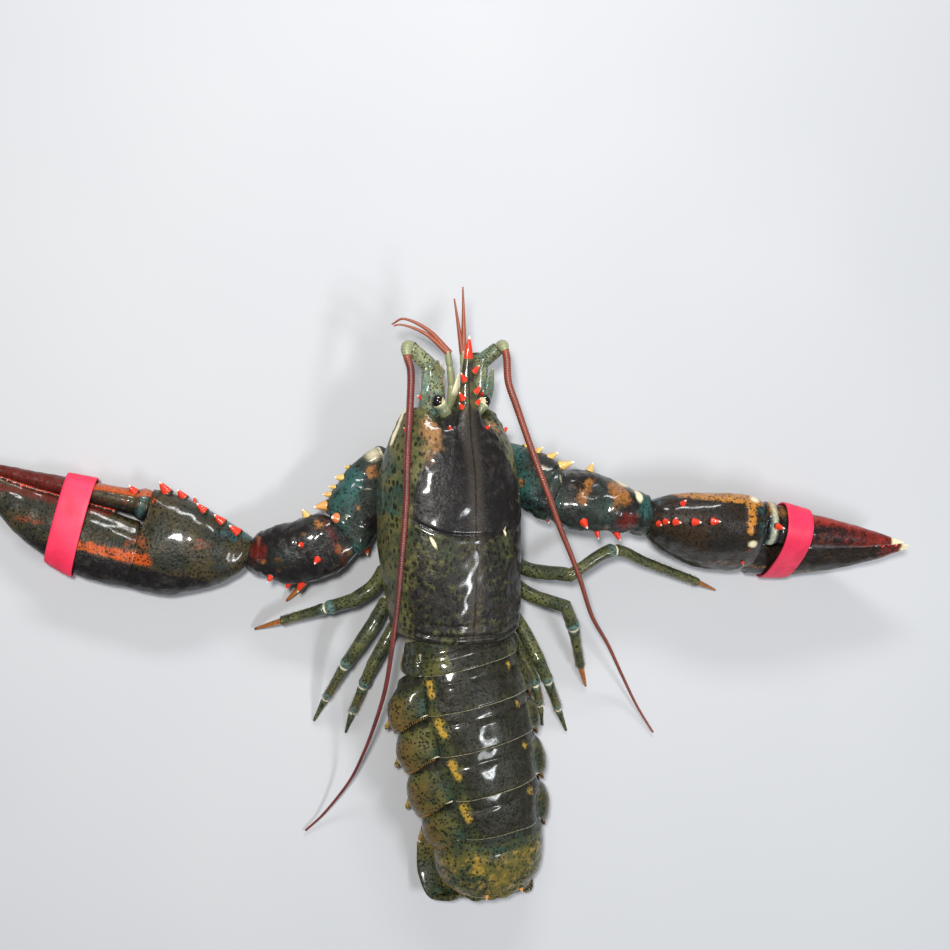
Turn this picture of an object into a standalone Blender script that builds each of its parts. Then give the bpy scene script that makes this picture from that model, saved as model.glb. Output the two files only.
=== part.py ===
"""American lobster, life size, as a still display model lying on its belly.

Sizes in this file are millimetres, and MM turns them into metres where a mesh is made.
The floor is z = 0. +Y points to the head, +X to the animal's right, and +Z is up.
The body leans to its right, so shell and tail are modelled in an upright frame of their
own, called the body frame here, and the empty body_lean turns them with all they carry.
"""

import math

import bmesh
import bpy
import numpy as np
from mathutils import Matrix, Vector
from mathutils.bvhtree import BVHTree

OBJECT_NAME = "american_lobster"
MM = 0.001
GAP = 0.3
LEAN_DEG = 15.0
BODY_LIFT = 3.0

# Carapace, in the body frame
SHELL_WAIST = 27.0
SHELL_SIDES = 32
ORBIT_Y = 51.0
REAR_Y = -46.0
GROOVE_Y = 0.5
ROSTRUM_TIP_Y = 85.0

# Sternum, in the body frame
STERNUM_TOP = 13.2
STERNUM_KEEL = -4.5
STERNUM_FRONT_Y = 34.0
COXA_REACH = 17.0
COXA_Z = 6.5

# Eyes, in the body frame
EYE_RADIUS = 2.8
EYE_AT = (11.0, 58.0, 36.0)
EYESTALK_ROOT = (5.6, 51.0, 34.0)

# Claws, measured along the claw from the wrist
BAND_WIDTH = 12.7
BAND_THICKNESS = 1.2
BAND_CLEARANCE = 1.1

# Facets round the limbs, the claws and the spines
LEG_SIDES = 8
CLAW_SIDES = 20
SPINE_SIDES = 5

# Materials: base colour, roughness
OLIVE_SHELL = ((0.045, 0.055, 0.022), 0.25)
BELLY_SHELL = ((0.36, 0.33, 0.2), 0.4)
LEG_SHELL = ((0.1, 0.12, 0.05), 0.3)
CUTTER_SHELL = ((0.08, 0.04, 0.02), 0.25)
CRUSHER_SHELL = ((0.13, 0.05, 0.02), 0.25)
FEELER_RED = ((0.28, 0.07, 0.04), 0.4)
EYE_BLACK = ((0.01, 0.008, 0.006), 0.05)
STALK_GREEN = ((0.3, 0.36, 0.25), 0.35)
BAND_PINK = ((0.82, 0.04, 0.1), 0.5)

LEAN = math.radians(LEAN_DEG)
BODY_FRAME = Matrix.Translation((0.0, 0.0, BODY_LIFT)) @ Matrix.Rotation(LEAN, 4, "Y")
SIDES = {"left": -1.0, "right": 1.0}


def clear_scene():
    """Remove whatever the file opened with, so that only the model is left."""
    for obj in list(bpy.data.objects):
        bpy.data.objects.remove(obj, do_unlink=True)


def new_collection(name, shown=True):
    """A collection in the scene, for the parts or for the tools that cut them."""
    made = bpy.data.collections.new(name)
    made.hide_render = not shown
    bpy.context.scene.collection.children.link(made)
    return made


def unit(vector):
    """The vector, or each row of vectors, at length one."""
    vector = np.asarray(vector, float)
    return vector / np.linalg.norm(vector, axis=-1, keepdims=True)


def to_world(point):
    """A point of the body frame in the world, in millimetres."""
    return np.array(BODY_FRAME @ Vector(point))


def turn_to_world(direction):
    """A direction of the body frame in the world."""
    return np.array(BODY_FRAME.to_3x3() @ Vector(direction))


def make_object(name, points, faces):
    """A closed mesh from points in millimetres, with its faces turned outwards."""
    mesh = bpy.data.meshes.new(name)
    mesh.from_pydata((np.asarray(points) * MM).tolist(), [], faces)
    shape = bmesh.new()
    shape.from_mesh(mesh)
    bmesh.ops.recalc_face_normals(shape, faces=shape.faces)
    shape.to_mesh(mesh)
    shape.free()
    obj = bpy.data.objects.new(name, mesh)
    TOOLS.objects.link(obj)
    return obj


def loft(name, rings, middle=None):
    """A solid through rings of equal count, closed by flat caps, or by fans to middle points.

    The two halves of each ring are split along mirrored diagonals, so a thin curved
    plate bends alike on both faces and never crosses itself.
    """
    rings = np.asarray(rings, float)
    length, count = rings.shape[:2]
    points = rings.reshape(-1, 3).tolist()
    faces = []
    for i in range(length - 1):
        for j in range(count):
            near, near_next = i * count + j, i * count + (j + 1) % count
            far, far_next = near + count, near_next + count
            if j < count // 2:
                faces += [(near, near_next, far_next), (near, far_next, far)]
            else:
                faces += [(near, near_next, far), (near_next, far_next, far)]
    first = list(range(count))
    last = [(length - 1) * count + j for j in range(count)]
    if middle is None:
        faces += [tuple(first), tuple(last)]
    else:
        for centre, ring in zip(middle, (first, last)):
            points.append(centre)
            hub = len(points) - 1
            faces += [(ring[j], ring[(j + 1) % count], hub) for j in range(count)]
    return make_object(name, points, faces)


def oval(count, power=2.0):
    """Cosine and sine round a superellipse: 2 gives an ellipse, more a squarer outline."""
    turn = np.arange(count) * 2.0 * math.pi / count
    cosine, sine = np.cos(turn), np.sin(turn)
    across = np.sign(cosine) * np.abs(cosine) ** (2.0 / power)
    rise = np.sign(sine) * np.abs(sine) ** (2.0 / power)
    return across, rise


def limb(name, path, widths, depths, side, first=None, last=None, count=LEG_SIDES, power=2.0):
    """A tapering limb: ovals square to a path, with half-width along side and half-depth across it.

    first and last give the direction that the end faces look along, where a joint sets it.
    """
    path = np.asarray(path, float)
    side = np.broadcast_to(np.asarray(side, float), path.shape)
    along = unit(np.gradient(path, axis=0))
    if first is not None:
        along[0] = unit(first)
    if last is not None:
        along[-1] = unit(last)
    across = unit(side - np.sum(side * along, axis=1, keepdims=True) * along)
    rise = np.cross(along, across)
    cosine, sine = oval(count, power)
    wide = np.asarray(widths, float)[:, None, None] * across[:, None, :] * cosine[None, :, None]
    deep = np.asarray(depths, float)[:, None, None] * rise[:, None, :] * sine[None, :, None]
    return loft(name, path[:, None, :] + wide + deep)


def bake_modifiers(obj):
    """Apply the object's modifiers to its mesh."""
    graph = bpy.context.evaluated_depsgraph_get()
    mesh = bpy.data.meshes.new_from_object(obj.evaluated_get(graph))
    obj.modifiers.clear()
    obj.data = mesh


def keep_largest(obj):
    """Leave only the largest closed surface, which drops scraps and sealed hollows."""
    shape = bmesh.new()
    shape.from_mesh(obj.data)
    unseen = set(shape.faces)
    shells = []
    while unseen:
        shell, edge_of = [], [unseen.pop()]
        while edge_of:
            face = edge_of.pop()
            shell.append(face)
            for edge in face.edges:
                for near in edge.link_faces:
                    if near in unseen:
                        unseen.remove(near)
                        edge_of.append(near)
        shells.append(shell)
    largest = max(shells, key=lambda shell: sum(face.calc_area() for face in shell))
    loose = [face for shell in shells if shell is not largest for face in shell]
    bmesh.ops.delete(shape, geom=loose, context="FACES")
    shape.to_mesh(obj.data)
    shape.free()


def fuse(core, pieces, solver="EXACT"):
    """Join closed pieces to the core by one Boolean union, and remove them."""
    group = bpy.data.collections.new(core.name + "_pieces")
    for piece in pieces:
        group.objects.link(piece)
    joint = core.modifiers.new("fuse", "BOOLEAN")
    joint.operation = "UNION"
    joint.operand_type = "COLLECTION"
    joint.collection = group
    joint.solver = solver
    bake_modifiers(core)
    for piece in pieces:
        bpy.data.objects.remove(piece, do_unlink=True)
    bpy.data.collections.remove(group)
    keep_largest(core)
    return core


def carve(core, cutter):
    """Take the cutter's shape out of the core, and remove the cutter."""
    bpy.context.view_layer.update()
    cut = core.modifiers.new("carve", "BOOLEAN")
    cut.operation = "DIFFERENCE"
    cut.object = cutter
    bake_modifiers(core)
    bpy.data.objects.remove(cutter, do_unlink=True)
    keep_largest(core)
    return core


def cut_at_floor(obj):
    """Cut the object flat at the floor, where it would reach below it."""
    bpy.context.view_layer.update()
    shape = bmesh.new()
    shape.from_mesh(obj.data)
    shape.transform(obj.matrix_world)
    if min(vertex.co.z for vertex in shape.verts) < 0.0:
        everything = shape.verts[:] + shape.edges[:] + shape.faces[:]
        bmesh.ops.bisect_plane(
            shape, geom=everything, plane_co=(0, 0, 0), plane_no=(0, 0, -1), clear_outer=True
        )
        rim = [edge for edge in shape.edges if edge.is_boundary]
        bmesh.ops.holes_fill(shape, edges=rim, sides=0)
        bmesh.ops.triangulate(shape, faces=[face for face in shape.faces if len(face.verts) > 4])
        bmesh.ops.recalc_face_normals(shape, faces=shape.faces)
        shape.transform(obj.matrix_world.inverted())
        shape.to_mesh(obj.data)
    shape.free()


def finish(obj, look, origin=(0.0, 0.0, 0.0), parent=None):
    """Make the object a part: give it its place, its material and its smooth shading."""
    colour, roughness = look
    material = bpy.data.materials.new(obj.name)
    material.use_nodes = True
    shader = material.node_tree.nodes["Principled BSDF"]
    shader.inputs["Base Color"].default_value = (*colour, 1.0)
    shader.inputs["Roughness"].default_value = roughness
    obj.data.materials.clear()
    obj.data.materials.append(material)
    obj.data.transform(Matrix.Translation(-Vector(origin) * MM))
    obj.location = Vector(origin) * MM
    obj.parent = parent
    TOOLS.objects.unlink(obj)
    PARTS.objects.link(obj)
    cut_at_floor(obj)
    obj.data.shade_smooth()
    obj.data.set_sharp_from_angle(angle=math.radians(40))
    return obj


def cone(root, heading, length, radius, tip=0.0, sides=SPINE_SIDES):
    """A cone standing on its root: pointed, or blunt where tip gives its end a radius."""
    heading = unit(heading)
    place = Vector(heading).to_track_quat("Z", "Y").to_matrix().to_4x4()
    place.translation = Vector(np.asarray(root) + heading * length / 2.0) * MM
    shape = bmesh.new()
    bmesh.ops.create_cone(
        shape, cap_ends=True, segments=sides, radius1=radius * MM, radius2=tip * MM,
        depth=length * MM, matrix=place,
    )
    mesh = bpy.data.meshes.new("cone")
    shape.to_mesh(mesh)
    shape.free()
    obj = bpy.data.objects.new("cone", mesh)
    TOOLS.objects.link(obj)
    return obj


def spines(core, start, end, side, places):
    """Spines standing on a core that runs from start to end, with their roots sunk in it.

    Each place gives how far along the spine stands, as a share of the run, its turn round
    the core from the side over the top, its lean towards the end, its length and its radius.
    """
    start, end = np.asarray(start, float), np.asarray(end, float)
    along = unit(end - start)
    side = unit(np.asarray(side, float) - along * np.dot(side, along))
    rise = np.cross(along, side)
    rise *= np.sign(rise[2])
    corners = [vertex.co for vertex in core.data.vertices]
    surface = BVHTree.FromPolygons(corners, [list(face.vertices) for face in core.data.polygons])
    cones = []
    for share, turn, lean, length, radius in places:
        turn, lean = math.radians(turn), math.radians(lean)
        out = side * math.cos(turn) + rise * math.sin(turn)
        centre = start + (end - start) * share
        foot = surface.ray_cast(Vector(centre + out * 100.0) * MM, -Vector(out))[0]
        heading = out * math.cos(lean) + along * math.sin(lean)
        sunk = 1.5 * radius + 0.3
        cones.append(cone(np.array(foot) / MM - heading * sunk, heading, length + sunk, radius))
    return cones


def between(stations, where, column):
    """One column of a table of stations, read at the place where by straight interpolation."""
    table = np.array(sorted(stations))
    return np.interp(where, table[:, 0], table[:, column])


# Spines: how far along the joint as a share, turn round it from its front or finger edge over
# its top and lean towards its end in degrees, length, radius
SPINES = {
    "carapace": [(0.46, 118, 35, 3.4, 1.2), (0.46, 62, 35, 3.4, 1.2), (0.45, 162, 45, 3.8, 1.3),
                 (0.45, 18, 45, 3.8, 1.3)],
    "rostrum": [(0.54, 158, 55, 3.8, 1.2), (0.31, 158, 52, 3.6, 1.2), (0.2, 156, 50, 2.8, 1.0),
                (0.64, 22, 52, 3.8, 1.2), (0.39, 22, 50, 3.6, 1.2), (0.25, 24, 50, 2.8, 1.0)],
    "merus_left": [(0.27, -10, 20, 2.2, 1.0), (0.42, -6, 25, 3.6, 1.5), (0.56, -8, 20, 2.8, 1.1),
                   (0.66, -8, 25, 3.6, 1.3), (0.8, -10, 35, 5.4, 2.0), (0.9, 32, 20, 3.0, 2.2),
                   (0.93, 195, 45, 6.5, 2.0)],
    "merus_right": [(0.33, -6, 20, 3.0, 1.2), (0.5, -4, 25, 3.2, 1.4), (0.66, -10, 30, 4.6, 1.6),
                    (0.84, -12, 42, 6.5, 2.0), (0.78, 205, 40, 6.5, 1.8), (0.94, 200, 45, 4.5, 1.5)],
    "carpus_left": [(0.34, 12, 20, 3.8, 1.6), (0.42, 94, 10, 2.4, 1.1), (0.28, 130, 25, 3.2, 1.3),
                    (0.52, 180, 35, 5.0, 1.7), (0.66, 182, 30, 3.2, 1.3), (0.8, 150, 35, 3.0, 1.2)],
    "carpus_right": [(0.3, -10, 15, 4.6, 1.7), (0.27, 130, 20, 4.2, 1.6), (0.47, 172, 25, 4.0, 1.3),
                     (0.67, 165, 35, 4.2, 1.4)],
    "palm_left": [(0.41, 8, 48, 5.6, 2.0), (0.335, 4, 52, 4.6, 1.7), (0.285, -14, 15, 3.6, 1.0),
                  (0.235, 22, 55, 4.6, 1.6), (0.15, 28, 55, 4.8, 1.7), (0.076, 38, 55, 4.8, 1.8)],
    "palm_right": [(0.02, 44, 10, 3.6, 1.3), (0.045, 36, 18, 3.9, 1.4), (0.085, 34, 30, 4.4, 1.6),
                   (0.115, -4, 10, 3.4, 1.3), (0.165, 30, 38, 4.8, 1.7), (0.245, 26, 48, 4.6, 1.7),
                   (0.44, 112, 30, 1.6, 0.8)],
    "finger_left": [(0.54, 38, 48, 4.0, 1.6)],
    "finger_right": [(0.545, 42, 30, 4.0, 1.3)],
    "abdomen_6": [(0.95, 54, 72, 2.0, 0.9), (0.95, 126, 72, 2.0, 0.9)],
    "antenna_base_left": [(0.8, 165, 25, 3.0, 1.0)],
    "antenna_base_right": [(0.85, 80, 60, 3.6, 1.0)],
}

# Carapace stations: y, half-width, top, lower edge, how far the sides run ahead of the top
SHELL_STATIONS = [
    (REAR_Y, 27.2, 42.6, 14.5, -3.0),
    (REAR_Y + 2.5, 28.6, 44.2, 13.6, -3.0),
    (REAR_Y + 5.0, 28.4, 44.0, 13.5, -2.0),
    (-30.0, 29.6, 46.4, 13.5, 0.0),
    (-12.0, 31.0, 48.3, 13.5, 6.0),
    (GROOVE_Y - 2.5, 31.0, 48.8, 13.5, 14.0),
    (GROOVE_Y, 30.1, 47.7, 13.9, 14.0),
    (GROOVE_Y + 2.5, 31.0, 48.9, 13.7, 14.0),
    (14.0, 30.2, 49.0, 14.5, 12.0),
    (28.0, 28.2, 48.6, 18.0, 7.0),
    (38.0, 25.6, 47.0, 20.0, 1.0),
    (46.0, 21.5, 44.2, 22.0, -3.0),
    (ORBIT_Y, 16.5, 41.0, 24.0, -5.0),
    (ORBIT_Y + 2.0, 12.5, 38.0, 25.5, -6.0),
]


def shell_ring(station, grow):
    """One ring of the carapace: a round back, steep flanks and a flat underside."""
    y, half, top, low, ahead = station
    half, top, low = half + grow, top + grow, low - grow
    back_x, back_z = oval(SHELL_SIDES, 2.3)
    base_x, base_z = oval(SHELL_SIDES, 4.0)
    over = back_z >= -1e-9
    x = half * np.where(over, back_x, base_x)
    waist = SHELL_WAIST + 0.15 * (low - 13.5)
    z = np.where(over, waist + (top - waist) * back_z, waist + (waist - low) * base_z)
    sweep = np.where(over, np.abs(x / half) ** 3, 1.0)
    return np.stack([x, y + ahead * sweep, z], axis=1)


def shell_core(name, grow=0.0):
    """The carapace without rostrum and spines, or the same shape grown all round."""
    stations = [list(station) for station in SHELL_STATIONS]
    stations[0][0] -= grow
    stations[-1][0] += grow
    rings = [shell_ring(station, grow) for station in stations]
    middle = [(0.0, REAR_Y - grow, 28.0), (0.0, ORBIT_Y + 2.0 + grow, 31.0)]
    return loft(name, rings, middle)


def rostrum(name, grow=0.0):
    """The pointed beak between the eyes, rooted in the carapace."""
    path = [(0, 36, 42.5), (0, 48, 42.4), (0, 56, 42.6), (0, 64, 43.2), (0, 74, 44.2), (0, 82, 45.4)]
    path.append((0, ROSTRUM_TIP_Y + grow, 46.0))
    widths = np.array([10.0, 6.6, 4.6, 3.5, 2.4, 1.2, 0.4]) + grow
    depths = np.array([4.0, 3.6, 3.0, 2.5, 1.8, 1.0, 0.4]) + grow
    return limb(name, path, widths, depths, (1, 0, 0), first=(0, 1, 0), last=(0, 1, 0), count=10)


def carapace():
    """The shell over head and chest in one piece with the rostrum."""
    core = shell_core("carapace")
    beak = rostrum("rostrum")
    pieces = spines(core, (0, 0, SHELL_WAIST), (0, 100, SHELL_WAIST), (1, 0, 0), SPINES["carapace"])
    pieces += spines(beak, (0, 48, 42.4), (0, 82, 45.4), (1, 0, 0), SPINES["rostrum"])
    fuse(core, [beak] + pieces)
    return finish(core, OLIVE_SHELL, parent=BODY)


def grown_head(name):
    """The carapace and rostrum grown by the gap, to cut what is set against them."""
    return fuse(shell_core(name, GAP), [rostrum("grown_rostrum", GAP)])


# Coxae, the first joint of each limb on the sternum: y, how far it turns forward, radius
COXAE = {
    "claw": (25.0, 4.0, 6.4),
    1: (10.0, 0.0, 4.3),
    2: (-4.0, -1.0, 4.3),
    3: (-18.0, -2.0, 4.1),
    4: (-31.0, -3.0, 3.9),
}


def coxa_line(which, sign):
    """Inner and outer end of a coxa's axis in the body frame."""
    y, turn, radius = COXAE[which]
    reach = COXA_REACH - (3.0 if which == "claw" else 0.0)
    root = np.array([sign * 6.0, y, 4.5])
    end = np.array([sign * reach, y + turn, COXA_Z])
    return root, end, radius


def sternum():
    """The breast plate between the legs, with the coxa of each limb."""
    middle = (STERNUM_TOP + STERNUM_KEEL) / 2.0
    path = [(0, -42, 4.5), (0, -30, middle), (0, -10, middle), (0, 12, middle), (0, 26, 5.5)]
    path.append((0, STERNUM_FRONT_Y, 7.5))
    depths = [8.0] + [(STERNUM_TOP - STERNUM_KEEL) / 2.0] * 3 + [7.6, 5.6]
    widths = [11, 13, 13, 11.5, 9.5, 8]
    core = limb("sternum", path, widths, depths, (1, 0, 0), (0, 1, 0), (0, 1, 0), 16, 3.4)
    pieces = []
    for which in COXAE:
        for side, sign in SIDES.items():
            root, end, radius = coxa_line(which, sign)
            pieces.append(limb(f"coxa_{which}_{side}", [root, end], [radius] * 2, [radius] * 2, (0, 1, 0)))
    fuse(core, pieces)
    return finish(core, BELLY_SHELL, parent=BODY)


def eye(side, sign):
    """A round eye on a short stalk beside the rostrum."""
    centre = np.array([sign * EYE_AT[0], EYE_AT[1], EYE_AT[2]])
    root = np.array([sign * EYESTALK_ROOT[0], EYESTALK_ROOT[1], EYESTALK_ROOT[2]])
    along = unit(centre - root)
    seat = centre - along * (0.45 * EYE_RADIUS)
    shape = bmesh.new()
    bmesh.ops.create_uvsphere(shape, u_segments=14, v_segments=8, radius=EYE_RADIUS * MM)
    bmesh.ops.translate(shape, verts=shape.verts, vec=Vector(centre) * MM)
    bmesh.ops.bisect_plane(
        shape,
        geom=shape.verts[:] + shape.edges[:] + shape.faces[:],
        plane_co=Vector(seat) * MM,
        plane_no=-Vector(along),
        clear_outer=True,
    )
    bmesh.ops.holes_fill(shape, edges=[edge for edge in shape.edges if edge.is_boundary], sides=0)
    bmesh.ops.triangulate(shape, faces=shape.faces)
    mesh = bpy.data.meshes.new(f"eye_{side}")
    shape.to_mesh(mesh)
    shape.free()
    ball = bpy.data.objects.new(f"eye_{side}", mesh)
    TOOLS.objects.link(ball)
    finish(ball, EYE_BLACK, origin=centre, parent=BODY)
    reach = np.linalg.norm(seat - root) - GAP
    path = [root, root + along * reach * 0.5, root + along * reach]
    stalk = limb(f"eyestalk_{side}", path, [2.4, 2.1, 2.3], [2.4, 2.1, 2.3], (0, 0, 1), along, along, 10)
    carve(stalk, grown_head("grown"))
    finish(stalk, STALK_GREEN, origin=root, parent=BODY)


def smooth_path(points, step):
    """Points a fixed step apart on a smooth curve through the given ones, by cubic blending."""
    points = np.asarray(points, float)
    before = np.vstack([2 * points[0] - points[1], points, 2 * points[-1] - points[-2]])
    fine = []
    for i in range(len(points) - 1):
        a, b, c, d = before[i], before[i + 1], before[i + 2], before[i + 3]
        t = np.linspace(0.0, 1.0, 20, endpoint=False)[:, None]
        bend = (2 * a - 5 * b + 4 * c - d) * t ** 2 + (3 * b - a - 3 * c + d) * t ** 3
        fine.append(b + 0.5 * ((c - a) * t + bend))
    fine = np.vstack(fine + [points[-1:]])
    run = np.concatenate([[0.0], np.cumsum(np.linalg.norm(np.diff(fine, axis=0), axis=1))])
    steps = max(2, int(round(run[-1] / step)) + 1)
    even = np.linspace(0.0, run[-1], steps)
    return np.stack([np.interp(even, run, fine[:, k]) for k in range(3)], axis=1)


def feeler(name, path, radii, sides=6):
    """A thin round tapering thread along a path, as a curve with a bevel and filled caps."""
    curve = bpy.data.curves.new(name, "CURVE")
    curve.dimensions = "3D"
    curve.bevel_depth = MM
    curve.bevel_resolution = (sides - 4) // 2
    curve.use_fill_caps = True
    line = curve.splines.new("POLY")
    line.points.add(len(path) - 1)
    for knot, point, radius in zip(line.points, path, radii):
        knot.co = (*(np.asarray(point) * MM), 1.0)
        knot.radius = radius
    route = bpy.data.objects.new(name + "_route", curve)
    TOOLS.objects.link(route)
    graph = bpy.context.evaluated_depsgraph_get()
    mesh = bpy.data.meshes.new_from_object(route.evaluated_get(graph))
    shape = bmesh.new()
    shape.from_mesh(mesh)
    bmesh.ops.remove_doubles(shape, verts=shape.verts, dist=0.00001)
    bmesh.ops.recalc_face_normals(shape, faces=shape.faces)
    shape.to_mesh(mesh)
    shape.free()
    obj = bpy.data.objects.new(name, mesh)
    obj.matrix_world = route.matrix_world
    TOOLS.objects.link(obj)
    bpy.data.objects.remove(route, do_unlink=True)
    return obj


# Antennal peduncles and antennules in the body frame, and the flagella in the world
PEDUNCLES = {
    "left": [(-10.5, 50.0, 26.0), (-10.2, 62.0, 28.5), (-11.5, 72.5, 30.5), (-20.0, 80.0, 31.5)],
    "right": [(10.5, 50.0, 26.0), (9.4, 63.0, 29.0), (9.6, 74.0, 33.5), (16.4, 80.2, 38.4)],
}
ANTENNULES = {
    "left": [(-2.6, 51.0, 29.5), (-3.0, 66.0, 32.5), (-5.0, 79.0, 34.0), (-14.0, 87.5, 33.0),
             (-24.0, 92.0, 30.0), (-29.0, 89.5, 26.0)],
    "right": [(2.6, 51.0, 29.5), (2.6, 66.0, 33.0), (1.2, 79.0, 36.0), (-0.6, 92.0, 38.5),
              (-2.5, 106.0, 40.5)],
}
FLAGELLA = {
    "left": [(-14.2, 80.5, 41.4), (-14.3, 76.5, 43.3), (-13.0, 70.4, 44.3), (-13.8, 58.3, 47.0),
             (-15.8, 37.0, 50.0), (-16.9, 16.1, 50.8), (-18.8, -4.9, 49.6), (-21.0, -26.2, 46.8),
             (-23.6, -47.9, 41.5), (-26.2, -65.7, 34.0), (-30.0, -81.0, 25.0), (-34.0, -93.7, 17.0),
             (-40.2, -107.9, 9.5), (-51.2, -122.8, 3.2), (-60.0, -131.0, 1.0)],
    "right": [(27.6, 80.6, 40.8), (28.6, 76.0, 42.6), (28.8, 65.5, 44.2), (31.5, 55.4, 46.6),
              (36.0, 40.4, 48.4), (39.7, 29.7, 48.4), (44.8, 16.0, 47.0), (49.9, 2.4, 44.2),
              (55.6, -10.0, 39.8), (60.9, -22.3, 34.6), (67.4, -37.7, 26.0), (76.9, -52.0, 16.0),
              (85.1, -67.0, 8.0), (93.0, -82.0, 3.2), (101.0, -95.0, 1.0)],
}
FLAGELLUM_PIECES = 3
FLAGELLUM_ROOT = 1.7
FLAGELLUM_TIP = 0.5


def antenna(side, sign):
    """One long antenna: its jointed base, and its flagellum in three lengths."""
    knots = np.array(PEDUNCLES[side])
    widths, depths = [6.0, 5.2], [5.4, 4.8]
    base = limb(f"antenna_base_{side}", knots[:2], widths, depths, (1, 0, 0), (0, 1, 0), None, 10)
    along = unit(knots[3] - knots[2])
    pieces = [
        limb("second", [knots[1] - [0, 2.5, 0], knots[2]], [4.9, 3.9], [4.6, 3.7], (1, 0, 0), count=10),
        limb("third", [knots[2] - along * 2.0, knots[3]], [3.7, 2.9], [3.5, 2.8], (0, 0, 1), count=10),
    ]
    tip = (sign * 15.3, 72.0, 35.0 + sign)
    scale = [(sign * 13.0, 54.0, 28.0), (sign * 13.8, 63.0, 32.5 + sign * 0.5), tip]
    pieces.append(limb("scale", scale, [2.6, 3.0, 0.5], [1.2, 0.9, 0.4], (1, 0, 0)))
    pieces += spines(base, knots[0], knots[1], (1, 0, 0), SPINES[base.name])
    fuse(base, pieces)
    carve(base, grown_head("grown"))
    finish(base, STALK_GREEN, origin=knots[0], parent=BODY)
    end, heading = to_world(knots[3]), turn_to_world(along)
    route = np.vstack([[end + heading * GAP], [end + heading * 2.4], FLAGELLA[side]])
    path = smooth_path(route, 1.0)
    path[1] = path[0] + heading * np.linalg.norm(path[1] - path[0])
    run = np.concatenate([[0.0], np.cumsum(np.linalg.norm(np.diff(path, axis=0), axis=1))])
    for k in range(FLAGELLUM_PIECES):
        start = run[-1] * k / FLAGELLUM_PIECES + (GAP / 2 if k else 0.0)
        stop = run[-1] * (k + 1) / FLAGELLUM_PIECES - (GAP / 2 if k < FLAGELLUM_PIECES - 1 else 0.0)
        count = 16 if k == 0 else 12
        spread = np.linspace(0.0, 1.0, count) ** (1.5 if k == 0 else 1.0)
        at = start + (stop - start) * spread
        knots_3d = np.stack([np.interp(at, run, path[:, axis]) for axis in range(3)], axis=1)
        radii = np.interp(at, [0.0, 6.0, run[-1]], [FLAGELLUM_ROOT + 0.5, FLAGELLUM_ROOT, FLAGELLUM_TIP])
        thread = feeler(f"antenna_{side}_{k + 1}", knots_3d, radii)
        finish(thread, FEELER_RED)


def antennule(side, sign):
    """One short forked feeler between the eyes: a jointed stem and two threads."""
    knots = np.array(ANTENNULES[side])
    stem = limb(
        f"antennule_{side}", knots[:3], [1.9, 1.7, 1.2], [1.9, 1.7, 1.2], (1, 0, 0), (0, 1, 0), None, 8
    )
    fork = unit(knots[3] - knots[2])
    across = unit(np.cross(fork, (0.0, 0.0, 1.0)))
    threads = []
    for k, (offset, root, reach) in enumerate(((0.9, 0.85, 1.0), (-0.9, 0.65, 0.8))):
        spread = np.linspace(0.3, 2.2, len(knots) - 2)[:, None] * offset * across
        path = smooth_path(knots[2:] - fork * 1.0 * (np.arange(len(knots) - 2) == 0)[:, None] + spread, 5.0)
        path = path[: max(3, int(len(path) * reach))]
        threads.append(feeler(f"thread_{k}", path, np.linspace(root, 0.35, len(path))))
    fuse(stem, threads)
    carve(stem, grown_head("grown"))
    finish(stem, FEELER_RED, origin=knots[0], parent=BODY)


def maxilliped(side, sign):
    """The long mouth leg that lies folded under the head."""
    root = (4.6, STERNUM_FRONT_Y + GAP, 8.0)
    path = np.array([root, (5.6, 42, 10), (6.4, 52, 14), (5.6, 60, 18), (3.6, 66, 20)]) * [sign, 1, 1]
    widths, depths = [3.2, 4.2, 3.8, 3.0, 1.2], [3.6, 4.4, 4.0, 3.0, 1.2]
    limb_mesh = limb(f"maxilliped_{side}", path, widths, depths, (1, 0, 0), (0, 1, 0))
    carve(limb_mesh, grown_head("grown"))
    finish(limb_mesh, BELLY_SHELL, origin=path[0], parent=BODY)


# Claw arms in the world: the elbows, and the claw from wrist to tip with its roll
ARMS = {
    "left": {
        "ischium": (-23.5, 33.5, 15.6), "merus": (-41.2, 1.2, 21.5), "wrist": (-81.7, -5.3, 13.0),
        "tip": (-205.0, 29.7, 9.0), "roll": 0.0, "bow": -3.6,
    },
    "right": {
        "ischium": (27.0, 34.0, 8.0), "merus": (52.0, 15.0, 27.0), "wrist": (95.0, 4.9, 25.0),
        "tip": (216.5, -11.4, 26.5), "roll": 58.0, "bow": 2.0,
    },
}

MERUS_BOW = 1.6

# Claw stations: along the claw, palm edge away from the finger, edge at the finger, thickness
CUTTER = {
    "palm": [(0, -7, 6, 13), (5, -13, 8.5, 18), (12, -18.5, 10.5, 22), (21, -23, 13, 24.5),
             (31, -26.5, 15.5, 25), (40, -28, 16.3, 24), (47, -28.5, 16, 22)],
    "thumb": [(40, -27.6, -1.5, 22), (50, -28.4, -1.2, 20), (62, -28.2, 0.2, 18), (74, -26.4, 0.6, 16),
              (86, -22.5, 0.8, 13.5), (98, -16.5, 1.6, 11), (110, -9, 2.6, 8), (120, -2.6, 3.2, 5),
              (128, 1.4, 3.2, 1.6)],
    "finger": [(47.3, 2.2, 15.4, 16), (54, 3, 14.6, 16), (64, 3.4, 13.4, 14.5), (76, 3.7, 12.4, 12.5),
               (88, 3.9, 11.8, 10.5), (100, 4.6, 11.2, 8.5), (112, 5.6, 10.3, 6.4), (121, 6.2, 8.8, 4),
               (127, 6, 7.2, 1.4)],
    "band": 77.0,
    "tooth": (1.3, 0.0, 1.4),
    "thumb_teeth": range(60, 121, 7),
    "finger_teeth": range(63, 121, 7),
}
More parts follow.
